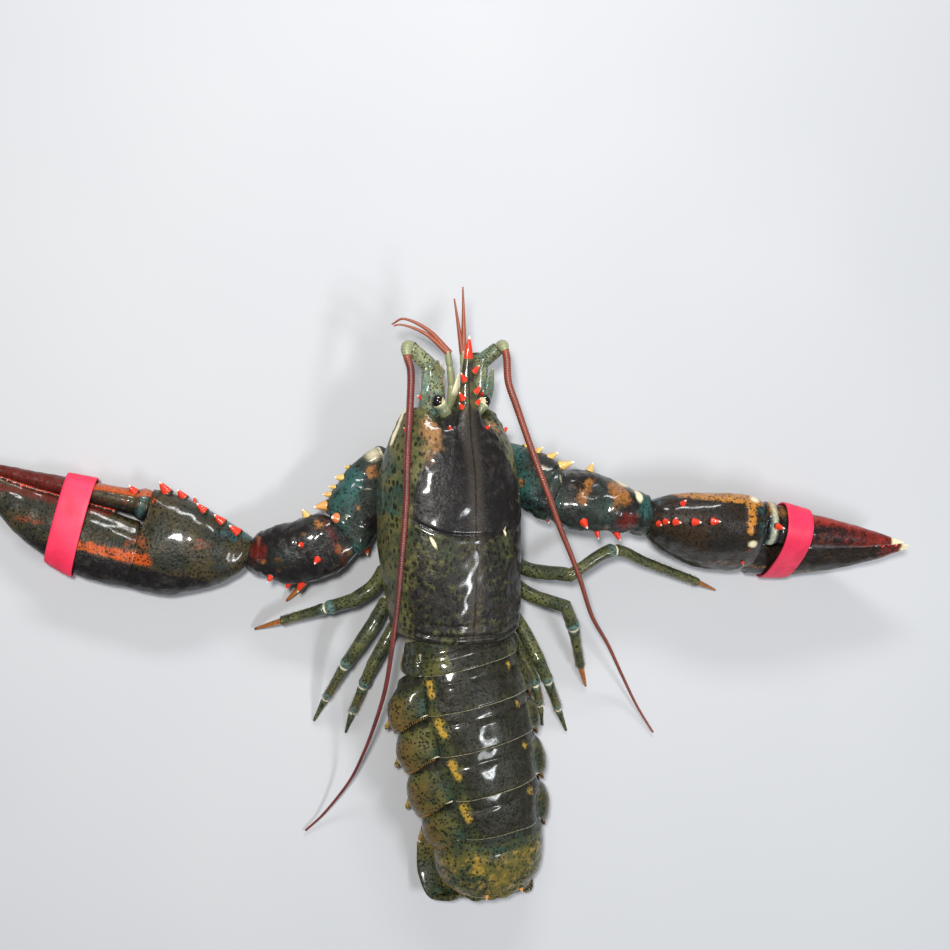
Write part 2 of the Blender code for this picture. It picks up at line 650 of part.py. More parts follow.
CRUSHER = {
    "palm": [(0, -8, 6, 14), (6, -15, 9, 20), (14, -20.5, 12.5, 25), (25, -25, 16, 29),
             (37, -27, 17, 29.5), (46, -28, 16.8, 28), (51, -28.3, 16, 26)],
    "thumb": [(44, -27.6, -4, 25), (56, -28.4, -4.4, 22.5), (68, -28.2, -5.4, 19.5), (80, -26.4, -5.4, 16.5),
              (92, -22, -4.2, 13.5), (104, -15, -2.2, 10), (114, -7.5, -0.6, 6), (122, -1.2, 0.2, 1.6)],
    "finger": [(51.3, -1, 15, 20), (58, -1.4, 14, 19), (68, -2.6, 12.2, 17), (80, -2.6, 10.4, 14.5),
               (92, -1.4, 8.8, 11.5), (103, 0.6, 7, 8), (112, 2, 5, 4.5), (119, 2.6, 3.6, 1.2)],
    "band": 63.0,
    "tooth": (2.2, 1.3, 1.1),
    "thumb_teeth": range(60, 111, 10),
    "finger_teeth": range(65, 111, 10),
}
CLAWS = {"left": CUTTER, "right": CRUSHER}
FINGER_MIDDLE = 7.5


def claw_frame(side, sign):
    """Placement of a claw: x from wrist to tip, y away from the palm's broad edge, z its upper face."""
    arm = ARMS[side]
    wrist, tip = np.array(arm["wrist"]), np.array(arm["tip"])
    along = unit(tip - wrist)
    level = unit(np.cross((0.0, 0.0, 1.0), along))
    up = np.cross(along, level)
    roll = math.radians(arm["roll"])
    across = level * math.cos(roll) + up * math.sin(roll)
    face = np.cross(along, across)
    frame = Matrix.Identity(4)
    for column, axis in enumerate((along, across, face)):
        for row in range(3):
            frame[row][column] = axis[row]
    return Matrix.Translation(Vector(wrist)) @ frame


def claw_loft(name, stations, sign, power=2.2, count=CLAW_SIDES):
    """Part of a claw in its own frame, oval in section, from its table of stations."""
    across, rise = oval(count, power)
    rings = []
    for x, low, high, thick in stations:
        y = sign * ((low + high) / 2.0 + (high - low) / 2.0 * across)
        rings.append(np.stack([np.full(count, float(x)), y, thick / 2.0 * rise], axis=1))
    return loft(name, rings)


def place_claw_part(obj, side, sign, look):
    """Set a claw piece, modelled in the claw's frame, against its arm."""
    frame = claw_frame(side, sign)
    seat = bpy.data.objects.get(f"claw_{side}")
    if seat is None:
        seat = bpy.data.objects.new(f"claw_{side}", None)
        PARTS.objects.link(seat)
        seat.matrix_world = Matrix.Translation(frame.to_translation() * MM) @ frame.to_3x3().to_4x4()
    finish(obj, look, parent=seat)


def claw(side, sign):
    """The claw: palm in one piece with its fixed finger, the free finger, and the rubber band."""
    shape = CLAWS[side]
    look = CUTTER_SHELL if side == "left" else CRUSHER_SHELL
    edge = (0.0, sign, 0.0)
    palm = claw_loft(f"palm_{side}", shape["palm"], sign)
    pieces = [claw_loft("thumb", shape["thumb"], sign, 2.0)]
    pieces += spines(palm, (0, 0, 0), (100, 0, 0), edge, SPINES[palm.name])
    pieces += teeth(shape, "thumb", sign)
    place_claw_part(fuse(palm, pieces), side, sign, look)
    finger = claw_loft(f"finger_{side}", shape["finger"], sign, 2.0, 16)
    middle = sign * FINGER_MIDDLE
    pieces = spines(finger, (0, middle, 0), (100, middle, 0), edge, SPINES[finger.name])
    pieces += teeth(shape, "finger", sign)
    place_claw_part(fuse(finger, pieces), side, sign, look)
    place_claw_part(band(f"band_{side}", shape, sign), side, sign, BAND_PINK)


def teeth(shape, which, sign):
    """The teeth along the inner edge of one finger: fine points, or blunt lumps."""
    size, blunt, height = shape["tooth"]
    column, way = (2, sign) if which == "thumb" else (1, -sign)
    row = []
    for x in shape[which + "_teeth"]:
        edge = between(shape[which], x, column)
        root = (x, sign * edge - way * size, 0.0)
        row.append(cone(root, (0.0, way, 0.0), size + height, size, blunt, SPINE_SIDES))
    return row


def band(name, shape, sign):
    """A flat rubber band stretched round both fingers, as a ring of even thickness."""
    count = 28
    ends = (shape["band"] - BAND_WIDTH / 2.0, shape["band"] + BAND_WIDTH / 2.0)
    loops = []
    for x, outward in ((ends[0], 0), (ends[0], 1), (ends[1], 1), (ends[1], 0)):
        low = between(shape["thumb"], x, 1) - BAND_CLEARANCE
        high = between(shape["finger"], x, 2) + BAND_CLEARANCE
        thick = max(between(shape["thumb"], x, 3), between(shape["finger"], x, 3)) / 2.0 + BAND_CLEARANCE
        across, rise = oval(count, 2.5)
        wall = BAND_THICKNESS * outward
        y = sign * ((low + high) / 2.0 + ((high - low) / 2.0 + wall) * across)
        loops.append(np.stack([np.full(count, x), y, (thick + wall) * rise], axis=1))
    points = np.concatenate(loops)
    faces = []
    for loop in range(4):
        for j in range(count):
            near, near_next = loop * count + j, loop * count + (j + 1) % count
            far, far_next = (near + count) % (4 * count), (near_next + count) % (4 * count)
            faces += [(near, near_next, far_next), (near, far_next, far)]
    return make_object(name, points, faces)


def arm(side, sign):
    """The three joints between the body and the claw."""
    places = ARMS[side]
    root, end, radius = coxa_line("claw", sign)
    heading = turn_to_world(unit(end - root))
    start = to_world(end) + heading * GAP
    ischium_end, merus_end = np.array(places["ischium"]), np.array(places["merus"])
    wrist = np.array(places["wrist"])
    claw_axis = np.array(claw_frame(side, sign).to_3x3().col[0])
    claw_across = np.array(claw_frame(side, sign).to_3x3().col[1])
    first_bend = unit(unit(merus_end - ischium_end) + unit(ischium_end - start))
    second_bend = unit(unit(wrist - merus_end) + unit(merus_end - ischium_end))
    path = [start, (start + ischium_end) / 2, ischium_end - first_bend * GAP]
    ischium = limb(
        f"ischium_{side}", path, [5.6, 6.0, 6.6], [5.6, 5.8, 6.2], (0, 0, 1), heading, first_bend, 12, 2.3
    )
    carve(ischium, world_head())
    finish(ischium, CUTTER_SHELL, origin=start)
    level = np.cross(merus_end - ischium_end, (0.0, 0.0, 1.0))
    spots = np.array([0.0, 0.16, 0.5, 0.82, 1.0])[:, None]
    path = ischium_end + (merus_end - second_bend * GAP - ischium_end) * spots
    path[:, 1] += MERUS_BOW * np.sin(math.pi * spots[:, 0])
    merus = limb(
        f"merus_{side}", path, [6.4, 9.4, 11.8, 12.8, 10.8], [6.2, 6.8, 8.0, 9.2, 7.8], level, first_bend,
        second_bend, 14, 2.4,
    )
    carve(merus, world_head())
    fuse(merus, spines(merus, ischium_end, merus_end, (0, 1, 0), SPINES[merus.name]))
    finish(merus, CUTTER_SHELL, origin=ischium_end)
    spots = np.array([0.0, 0.14, 0.42, 0.72, 0.9, 1.0])[:, None]
    path = merus_end + (wrist - claw_axis * GAP - merus_end) * spots
    path[:, 1] += places["bow"] * np.sin(math.pi * spots[:, 0])
    side_hint = np.linspace(0.0, 1.0, 6)[:, None]
    turning = (1 - side_hint) * np.cross(second_bend, (0, 0, 1)) * sign + side_hint * claw_across
    carpus = limb(
        f"carpus_{side}", path, [10.4, 13.0, 13.6, 12.2, 9.6, 7.2], [7.8, 9.4, 10.4, 10.2, 8.6, 6.8], turning,
        second_bend, claw_axis, 16, 2.4,
    )
    fuse(carpus, spines(carpus, merus_end, wrist, (0, 1, 0), SPINES[carpus.name]))
    finish(carpus, CUTTER_SHELL, origin=merus_end)


def world_head():
    """The grown carapace standing in its place in the world, as a cutter."""
    cutter = shell_core("grown", GAP)
    turned = BODY_FRAME.to_3x3().to_4x4()
    cutter.matrix_world = Matrix.Translation((0, 0, BODY_LIFT * MM)) @ turned
    return cutter


# Walking legs in the world, from the coxa outwards: bend, knee, ankle, wrist of the foot, tip
LEGS = {
    ("right", 1): [(28.0, 1.0, 6.0), (37.6, -14.9, 14.0), (58.3, -19.2, 25.5), (79.1, -8.9, 24.0),
                   (121.0, -25.4, 8.6), (132.0, -30.0, 1.0)],
    ("right", 2): [(29.0, -16.0, 5.6), (40.0, -27.0, 11.0), (56.6, -33.6, 21.5), (61.5, -44.0, 14.0),
                   (66.5, -62.0, 4.0), (69.5, -72.0, 0.6)],
    ("right", 3): [(29.0, -29.0, 6.0), (37.5, -42.0, 12.5), (44.2, -56.7, 18.0), (50.0, -68.0, 10.5),
                   (56.0, -82.0, 3.0), (60.0, -92.0, 0.5)],
    ("right", 4): [(24.5, -39.0, 5.0), (35.0, -49.0, 6.0), (41.5, -61.0, 8.0), (45.0, -70.0, 5.6),
                   (47.5, -80.0, 2.4), (49.0, -89.0, 0.5)],
    ("left", 1): [(-25.0, 4.0, 8.6), (-35.0, 0.0, 6.0), (-45.0, -6.0, 5.6), (-53.0, -13.0, 5.0),
                  (-61.0, -23.0, 2.6), (-66.0, -28.0, 0.8)],
    ("left", 2): [(-23.0, -14.0, 17.5), (-29.0, -22.0, 19.5), (-37.7, -27.5, 19.0), (-49.5, -31.0, 14.5),
                  (-68.5, -36.2, 8.5), (-80.0, -40.0, 1.2)],
    ("left", 3): [(-22.5, -28.0, 16.5), (-29.0, -38.0, 18.5), (-35.5, -47.0, 18.5), (-42.0, -57.0, 14.0),
                  (-50.0, -72.0, 5.5), (-55.0, -82.0, 0.5)],
    ("left", 4): [(-18.5, -39.0, 12.6), (-24.0, -48.0, 12.6), (-29.5, -57.5, 12.5), (-33.5, -67.0, 8.5),
                  (-38.0, -79.0, 3.0), (-41.0, -88.0, 0.5)],
}
PINCER_LEGS = (1, 2)


def leg(side, sign, which):
    """One walking leg: upper part to the knee, lower part with a small pincer or a plain tip."""
    root, end, radius = coxa_line(which, sign)
    heading = turn_to_world(unit(end - root))
    start = to_world(end) + heading * GAP
    bend, thigh, knee, ankle, foot, tip = (np.array(point) for point in LEGS[(side, which)])
    fit = radius / COXAE[1][2]
    turn = unit(unit(ankle - knee) + unit(knee - thigh))
    path = [start, bend, thigh, knee - turn * GAP]
    upper = limb(
        f"leg_{side}_{which}_upper", path, fit * np.array([3.7, 3.5, 3.9, 3.5]),
        fit * np.array([3.6, 3.2, 3.3, 3.2]), (0, 0, 1), heading, turn,
    )
    carve(upper, world_head())
    finish(upper, LEG_SHELL, origin=start)
    if which in PINCER_LEGS:
        path = [knee, ankle, ankle + (foot - ankle) * 0.35, foot]
        lower = limb(
            f"leg_{side}_{which}_lower", path, fit * np.array([3.4, 2.9, 2.5, 3.0]),
            fit * np.array([3.1, 2.7, 2.2, 2.0]), (0, 0, 1), turn, None,
        )
        pincer = foot_fingers(foot, tip, fit)
        fuse(lower, pincer)
    else:
        path = [knee, ankle, ankle + (foot - ankle) * 0.5, foot, tip]
        lower = limb(
            f"leg_{side}_{which}_lower", path, fit * np.array([3.4, 2.7, 2.2, 1.8, 0.6]),
            fit * np.array([3.1, 2.5, 2.0, 1.7, 0.6]), (0, 0, 1), turn, None,
        )
    finish(lower, LEG_SHELL, origin=knee)


def foot_fingers(foot, tip, fit):
    """The two small fingers at the end of a pincer leg."""
    along = unit(tip - foot)
    apart = unit(np.cross(along, np.cross(along, (0.0, 0.0, 1.0))))
    fingers = []
    widths, depths = fit * np.array([1.9, 1.1, 0.5]), fit * np.array([1.3, 0.9, 0.5])
    for offset in (0.9, -0.9):
        shift = apart * offset
        path = [foot - along * 1.5 + shift, (foot + tip) / 2 + shift * 1.3, tip + shift * 0.7]
        fingers.append(limb("foot", path, widths, depths, (0, 0, 1)))
    return fingers


# Tail joints in the body frame: x, y, top, half-width, height over the middle, depth under it
TAIL_JOINTS = [
    (0.6, -46.0, 41.8, 24.0, 18.5, 8.5),
    (2.8, -55.0, 42.8, 26.0, 20.0, 9.5),
    (5.6, -72.0, 43.6, 28.0, 21.0, 10.0),
    (9.0, -89.4, 43.2, 28.2, 21.0, 10.0),
    (12.8, -109.0, 41.4, 27.4, 20.5, 9.5),
    (16.4, -128.0, 37.6, 25.6, 19.0, 6.8),
    (18.6, -158.0, 28.6, 19.0, 12.6, 3.6),
]
# A side lobe of a tail ring, from its root down: how far down, out and back, its half-width
# as a share of the ring's length, and its half-thickness
LOBE = [(0.0, -3.0, 0.0, 0.43, 2.6), (7.0, 0.2, 0.5, 0.45, 1.7), (12.0, 0.3, 1.5, 0.42, 1.3),
        (16.0, -1.0, 3.2, 0.3, 1.0), (18.0, -2.6, 4.4, 0.1, 0.6)]
LAST_LOBE = [(0.0, -1.9, 0.0, 0.2, 1.5), (3.0, -0.5, 0.5, 0.2, 1.4), (5.2, -0.2, 1.5, 0.17, 1.2),
             (6.6, -0.8, 2.6, 0.11, 0.9), (7.6, -1.6, 3.4, 0.05, 0.5)]

# Each tail ring: place along the segment, scale of the section
TAIL_RINGS = [(0.0, 0.95), (0.16, 0.975), (0.3, 1.0), (0.6, 1.015), (0.9, 1.0), (1.0, 0.985)]
TAIL_SIDES = 24


def tail_axis():
    """Middle of each tail joint, and the direction that its faces look along."""
    joints = np.array(TAIL_JOINTS)
    middle = np.stack([joints[:, 0], joints[:, 1], joints[:, 2] - joints[:, 4]], axis=1)
    return joints, middle, unit(np.gradient(middle, axis=0))


def tail_square(along):
    """The directions to the right and up, square to the tail's axis."""
    right = unit(np.cross((0.0, 0.0, 1.0), along))
    return right, np.cross(along, right)


def tail_segment(k):
    """One ring of the tail: a round back over a flat belly, wider behind than in front."""
    joints, middle, heading = tail_axis()
    rings = []
    gap = GAP / 2.0
    back_x, back_z = oval(TAIL_SIDES, 2.2)
    base_x, base_z = oval(TAIL_SIDES, 3.4)
    over = back_z >= -1e-9
    for at, scale in TAIL_RINGS:
        reach = np.linalg.norm(middle[k + 1] - middle[k])
        spot = gap + at * (reach - 2 * gap)
        share = spot / reach
        centre = middle[k] * (1 - share) + middle[k + 1] * share
        along = unit(heading[k] * (1 - share) + heading[k + 1] * share)
        half, up, down = (joints[k, 3:] * (1 - share) + joints[k + 1, 3:] * share) * scale
        across, rise = tail_square(along)
        wide = half * np.where(over, back_x, base_x)
        high = np.where(over, up * back_z, down * base_z)
        rings.append(centre + wide[:, None] * across + high[:, None] * rise)
    core = loft(f"abdomen_{k + 1}", rings)
    pieces = pleura(k) + swimmerets(k)
    if core.name in SPINES:
        across = tail_square(heading[k])[0]
        pieces += spines(core, middle[k], middle[k + 1], across, SPINES[core.name])
    if pieces:
        fuse(core, pieces)
    if k == 0:
        carve(core, shell_core("grown", GAP))
    finish(core, OLIVE_SHELL, origin=middle[k], parent=BODY)


def pleura(k):
    """The side lobes of a tail ring, which hang down past the belly."""
    joints, middle, heading = tail_axis()
    if k == 0:
        return []
    centre = (middle[k] + middle[k + 1]) / 2
    along = unit(heading[k] + heading[k + 1])
    across = tail_square(along)[0]
    half = (joints[k, 3] + joints[k + 1, 3]) / 2
    reach = np.linalg.norm(middle[k + 1] - middle[k])
    table = np.array(LAST_LOBE if k == 5 else LOBE)
    lobes = []
    for sign in SIDES.values():
        path = []
        for depth, bulge, back in table[:, :3]:
            path.append(centre + across * sign * (half + bulge) + along * back - np.array([0.0, 0.0, depth]))
        lobes.append(limb("lobe", path, table[:, 3] * reach, table[:, 4], along, (0, 0, -1), None, 12, 2.6))
    return lobes


def swimmerets(k):
    """The pair of soft paddles under a tail ring."""
    if k not in (1, 2, 3, 4):
        return []
    joints, middle, heading = tail_axis()
    centre = (middle[k] + middle[k + 1]) / 2
    along = unit(heading[k] + heading[k + 1])
    across = tail_square(along)[0]
    belly = (joints[k, 5] + joints[k + 1, 5]) / 2
    paddles = []
    widths, depths = [2.2, 3.6, 4.4, 1.8], [1.2, 0.9, 0.8, 0.5]
    for sign in SIDES.values():
        path = []
        for back, out, down in ((0.0, 12.0, 0.0), (2.0, 12.6, 5.0), (6.0, 12.6, 8.0), (10.0, 12.0, 9.5)):
            path.append(centre + along * back + across * sign * out - np.array([0, 0, belly - 2.0 + down]))
        paddles.append(limb("paddle", path, widths, depths, across, (0, 0, -1)))
    return paddles


# Tail fan: each blade's root on the last ring's rear face, as a place across and above its
# middle, then its knots in the world down behind the ring and forward under it
FAN_BACK = (-161.6, -160.6, -152.5, -138.0)
FAN = {
    "telson": [(0.0, 1.0), (21.4, 8.6), (20.2, 3.6), (19.6, 1.4), (19.2, 1.1)],
    "uropod_inner_left": [(-10.4, -0.5), (9.0, 10.8), (4.0, 4.6), (2.4, 1.6), (1.4, 1.1)],
    "uropod_inner_right": [(10.4, -0.5), (32.0, 6.0), (33.4, 2.8), (34.0, 1.3), (33.8, 1.1)],
    "uropod_outer_left": [(-15.6, -0.5), (0.6, 14.4), (-6.4, 9.6), (-9.6, 6.0), (-11.0, 4.8)],
    "uropod_outer_right": [(15.6, -0.5), (38.8, 9.8), (38.8, 6.8), (35.4, 4.0), (33.0, 3.6)],
}
FAN_ROOTS = {"telson": 7.2, "uropod_inner": 2.2, "uropod_outer": 2.0}
FAN_BLADES = {
    "telson": (8.4, 9.4, 9.2, 7.4),
    "uropod_inner": (3.0, 5.6, 7.0, 5.4),
    "uropod_outer": (3.0, 6.0, 7.8, 5.8),
}
FAN_FOLD = {"uropod_inner_right": 0.62, "uropod_outer_right": 0.55}


def fan_blade(name):
    """One blade of the tail fan, from the last ring down and forward to the floor."""
    kind = name.rsplit("_", 1)[0] if name.startswith("uropod") else name
    joints, middle, heading = tail_axis()
    right, up = tail_square(heading[-1])
    aside, above = FAN[name][0]
    root = to_world(middle[-1] + heading[-1] * GAP / 2 + right * aside + up * above)
    path = [root] + [(x, y, z) for (x, z), y in zip(FAN[name][1:], FAN_BACK)]
    lean = turn_to_world(right)
    level = np.array([1.0, 0.0, 0.0])
    side = [lean * (1 - share) + level * share for share in (0.0, 0.2, 0.7, 1.0, 1.0)]
    widths = [FAN_ROOTS[kind]] + [half * FAN_FOLD.get(name, 1.0) for half in FAN_BLADES[kind]]
    depths = [1.5, 1.3, 1.1, 1.0, 0.6]
    blade = limb(name, path, widths, depths, side, turn_to_world(heading[-1]), None, 12, 2.6)
    finish(blade, OLIVE_SHELL, origin=path[0])


clear_scene()
PARTS = new_collection(OBJECT_NAME)
TOOLS = new_collection("cutters", shown=False)
BODY = bpy.data.objects.new("body_lean", None)
PARTS.objects.link(BODY)
BODY.location = (0.0, 0.0, BODY_LIFT * MM)
BODY.rotation_euler = (0.0, LEAN, 0.0)

carapace()
sternum()
for side_name, side_sign in SIDES.items():
    eye(side_name, side_sign)
    antenna(side_name, side_sign)
    antennule(side_name, side_sign)
    maxilliped(side_name, side_sign)
    arm(side_name, side_sign)
    claw(side_name, side_sign)
    for number in (1, 2, 3, 4):
        leg(side_name, side_sign, number)
for segment in range(6):
    tail_segment(segment)
for blade_name in FAN:
    fan_blade(blade_name)
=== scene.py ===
# %% [markdown]
# # An American lobster, life size
# This lesson dresses the plain solids of a lobster model with fine surfaces and finishes.
# Every surface is worked out with numpy as whole arrays: rings of points carried along a path,
# or a formula of two numbers. Sizes are in millimetres and become metres in the mesh.
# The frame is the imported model. Each new piece lies where its solid lies and takes its place.

# %% Load the frame
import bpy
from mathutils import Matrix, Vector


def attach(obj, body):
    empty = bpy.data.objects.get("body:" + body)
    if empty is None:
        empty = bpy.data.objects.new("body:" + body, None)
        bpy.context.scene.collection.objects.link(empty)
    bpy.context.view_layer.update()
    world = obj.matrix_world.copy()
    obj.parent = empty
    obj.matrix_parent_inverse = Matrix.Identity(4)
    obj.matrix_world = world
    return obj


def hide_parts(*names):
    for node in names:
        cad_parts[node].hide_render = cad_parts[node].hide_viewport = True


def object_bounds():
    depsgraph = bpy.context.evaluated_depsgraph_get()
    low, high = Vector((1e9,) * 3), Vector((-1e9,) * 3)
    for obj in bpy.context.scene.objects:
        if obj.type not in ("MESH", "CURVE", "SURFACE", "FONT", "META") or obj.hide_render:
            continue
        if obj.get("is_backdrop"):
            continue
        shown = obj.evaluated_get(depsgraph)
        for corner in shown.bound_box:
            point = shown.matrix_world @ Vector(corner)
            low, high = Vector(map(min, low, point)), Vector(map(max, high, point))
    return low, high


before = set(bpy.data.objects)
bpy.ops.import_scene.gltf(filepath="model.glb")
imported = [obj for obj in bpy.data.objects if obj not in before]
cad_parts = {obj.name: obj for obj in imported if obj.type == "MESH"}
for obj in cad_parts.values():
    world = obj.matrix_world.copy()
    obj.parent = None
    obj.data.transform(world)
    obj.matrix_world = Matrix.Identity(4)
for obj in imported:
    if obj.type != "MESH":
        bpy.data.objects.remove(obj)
CAD_BOX = [list(corner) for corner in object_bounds()]

# %% Modules and the box of the solids
import math

import bpy
import numpy as np
from mathutils import Matrix, Vector
from mathutils.bvhtree import BVHTree

MM = 0.001
RIGHT, AHEAD, UP = (1, 0, 0), (0, 1, 0), (0, 0, 1)
print("solids:", len(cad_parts), "box in mm:", np.round(np.array(CAD_BOX) * 1000, 1).tolist())

# %% [markdown]
# ## The two frames
# The body leans 15 degrees to its right, so shell and tail are easier to describe upright,
# in a body frame, and are turned into the world at the end. The arms, legs and long feelers
# are given in the world.

# %% Body frame and world
LEAN = math.radians(15)
BODY_LIFT = 3
SIDES = {"left": -1, "right": 1}


def to_world(points):
    """Body points in the world: turned about the long axis by the lean, then lifted."""
    x, y, z = np.moveaxis(np.asarray(points, float), -1, 0)
    leant = [x * math.cos(LEAN) + z * math.sin(LEAN), y, z * math.cos(LEAN) - x * math.sin(LEAN)]
    return np.stack(leant, axis=-1) + [0, 0, BODY_LIFT]


def turned(direction):
    """A direction of the body frame in the world."""
    return to_world(direction) - to_world((0, 0, 0))


print("body origin stands at", to_world((0, 0, 0)).tolist())

# %% [markdown]
# ## Small tools for arrays
# A soft step, a bell and a smooth reading of a table are enough to write most of the shell's
# relief. The waves are a cheap noise: many cosines in fixed, seeded directions.

# %% Steps, bells, smooth tables and waves


def unit(vector):
    """The vector, or each row of vectors, at length one."""
    vector = np.asarray(vector, float)
    return vector / np.linalg.norm(vector, axis=-1, keepdims=True)


def step(value, low, high):
    """From 0 at low to 1 at high along 3t^2 - 2t^3."""
    t = np.clip((np.asarray(value, float) - low) / (high - low), 0, 1)
    return t * t * (3 - 2 * t)


def bell(value, middle, width):
    """A bell curve, exp(-((value - middle) / width)^2)."""
    return np.exp(-((np.asarray(value, float) - middle) / width) ** 2)


def smooth(knots, values, at):
    """Values between knots by cubic blends that pass each knot at its mean slope."""
    knots, values, at = np.asarray(knots, float), np.asarray(values, float), np.asarray(at, float)
    slope = np.gradient(values, knots, axis=0) if len(knots) > 2 else np.gradient(values, axis=0)
    k = np.clip(np.searchsorted(knots, at, side="right") - 1, 0, len(knots) - 2)
    gap = knots[k + 1] - knots[k]
    t = (at - knots[k]) / gap
    if values.ndim > 1:
        t, gap = t[:, None], gap[:, None]
    stay = (2 * t ** 3 - 3 * t ** 2 + 1) * values[k] + (t ** 3 - 2 * t ** 2 + t) * gap * slope[k]
    return stay + (3 * t ** 2 - 2 * t ** 3) * values[k + 1] + (t ** 3 - t ** 2) * gap * slope[k + 1]


def run_of(path):
    """Distance along a path at each of its points."""
    return np.concatenate([[0], np.cumsum(np.linalg.norm(np.diff(path, axis=0), axis=1))])


def waves(points, size, seed):
    """Smooth noise between about -1 and 1: the mean of cosines of plane waves of one length."""
    draw = np.random.default_rng(seed)
    headings = unit(draw.normal(size=(18, 3))) * (2 * math.pi / size)
    phases = draw.uniform(0, 2 * math.pi, 18)
    return np.cos(np.asarray(points) @ headings.T + phases).sum(axis=-1) / 5


def oval(count, power=2):
    """Cosine and sine round a superellipse: 2 gives an ellipse, more a squarer outline."""
    turn = np.arange(count) * 2 * math.pi / count
    cosine, sine = np.cos(turn), np.sin(turn)
    return np.sign(cosine) * np.abs(cosine) ** (2 / power), np.sign(sine) * np.abs(sine) ** (2 / power)


def circles(side, rise, count):
    """A circle of points for each row of directions: side x cosine + rise x sine."""
    turn = np.arange(count) * 2 * math.pi / count
    return side[:, None] * np.cos(turn)[:, None] + rise[:, None] * np.sin(turn)[:, None]


print("waves over a line:", np.round(waves(np.eye(3) * 7, 10, 1), 2).tolist())

# %% [markdown]
# ## A shape and its marks
# A shape is a set of points with faces of four and of three corners. Beside each point it
# keeps marks, numbers that say what the point is: the tip of a spine, an ochre patch, a pale
# membrane. The finishes read them as attributes of the mesh, so colour follows the real
# parts of the shell and needs no picture.

# %% The shape class
MARKS = ("tip", "tint", "dark", "warm", "teal", "pale", "red", "speck", "mid")


class Shape:
    """One closed surface or several, with a number for each point under each mark's name."""

    def __init__(self, points, quads, tris):
        self.points = np.asarray(points, float)
        self.quads = np.asarray(quads, int).reshape(-1, 4)
        self.tris = np.asarray(tris, int).reshape(-1, 3)
        self.marks = {name: np.zeros(len(self.points)) for name in MARKS}
        self.along = np.zeros(len(self.points))
        if self.volume() < 0:
            self.quads, self.tris = self.quads[:, ::-1], self.tris[:, ::-1]

    def corners(self):
        """All faces as triangles."""
        return np.vstack([self.quads[:, [0, 1, 2]], self.quads[:, [0, 2, 3]], self.tris])

    def volume(self):
        """Signed volume: the sum of the triple products of the triangles, over six."""
        a, b, c = (self.points[self.corners()[:, k]] for k in range(3))
        return float(np.sum(a * np.cross(b, c)) / 6)

    def normals(self):
        """Outward directions at the points: the sum of the face normals that meet there."""
        tri = self.corners()
        a, b, c = (self.points[tri[:, k]] for k in range(3))
        total = np.zeros_like(self.points)
        across = np.cross(b - a, c - a)
        for k in range(3):
            np.add.at(total, tri[:, k], across)
        return total / np.maximum(np.linalg.norm(total, axis=1, keepdims=True), 1e-12)

    def push(self, amount):
        """Move each point along its normal by an amount in millimetres."""
        self.points = self.points + self.normals() * np.asarray(amount, float)[..., None]
        return self

    def mark(self, **values):
        """Write marks, a number for all points or one for each, all but mid held between 0 and 1."""
        for name, value in values.items():
            value = np.broadcast_to(np.asarray(value, float), len(self.points))
            self.marks[name] = value.copy() if name == "mid" else np.clip(value, 0, 1)
        return self

    def world(self):
        """The same shape carried from the body frame into the world."""
        self.points = to_world(self.points)
        return self


def join(shapes):
    """Several shapes as one, with their marks kept."""
    starts = np.cumsum([0] + [len(shape.points) for shape in shapes[:-1]])
    quads = np.vstack([shape.quads + start for shape, start in zip(shapes, starts)])
    tris = np.vstack([shape.tris + start for shape, start in zip(shapes, starts)])
    whole = Shape(np.vstack([shape.points for shape in shapes]), quads, tris)
    for name in MARKS:
        whole.marks[name] = np.concatenate([shape.marks[name] for shape in shapes])
    return whole


def skin(rings):
    """A closed surface over rings of points: each joins the next, and the end rings close on a pole."""
    rings = np.asarray(rings, float)
    n, m = rings.shape[:2]
    points = np.vstack([rings.reshape(-1, 3), rings[:1].mean(axis=1), rings[-1:].mean(axis=1)])
    i, j = np.meshgrid(np.arange(n - 1), np.arange(m), indexing="ij")
    near, near_next = i * m + j, i * m + (j + 1) % m
    quads = np.stack([near, near_next, near_next + m, near + m], axis=-1).reshape(-1, 4)
    j = np.arange(m)
    first = np.stack([(j + 1) % m, j, np.full(m, n * m)], axis=-1)
    last = np.stack([(n - 1) * m + j, (n - 1) * m + (j + 1) % m, np.full(m, n * m + 1)], axis=-1)
    shape = Shape(points, quads, np.vstack([first, last]))
    shape.along = np.concatenate([np.repeat(np.linspace(0, 1, n), m), [0, 1]])
    return shape


def domed(rings, front=0, back=0, steps=5):
    """Round both ends: copies of the end ring shrink by the cosine and move out by the sine."""
    rings = np.asarray(rings, float)
    turn = np.linspace(0, math.pi / 2, steps + 1)[1:-1]
    caps = []
    for end, inner, dome in ((0, 1, front), (-1, -2, back)):
        centre = rings[end].mean(axis=0)
        out = unit(centre - rings[inner].mean(axis=0))
        close = (rings[end] - centre)[None] * np.cos(turn)[:, None, None] ** 0.8
        caps.append(centre + close + out * (dome * np.sin(turn))[:, None, None])
    return np.concatenate([caps[0][::-1], rings, caps[1]])


print("marks:", ", ".join(MARKS))

# %% [markdown]
# ## Limbs along a path
# A leg, an arm joint or a feeler is an oval carried along a path. The oval stays square to
# the path, its half-width lies along a side direction, and its sizes are read smoothly
# between knots, as a maker bends a tapering tube.

# %% Ovals along a path


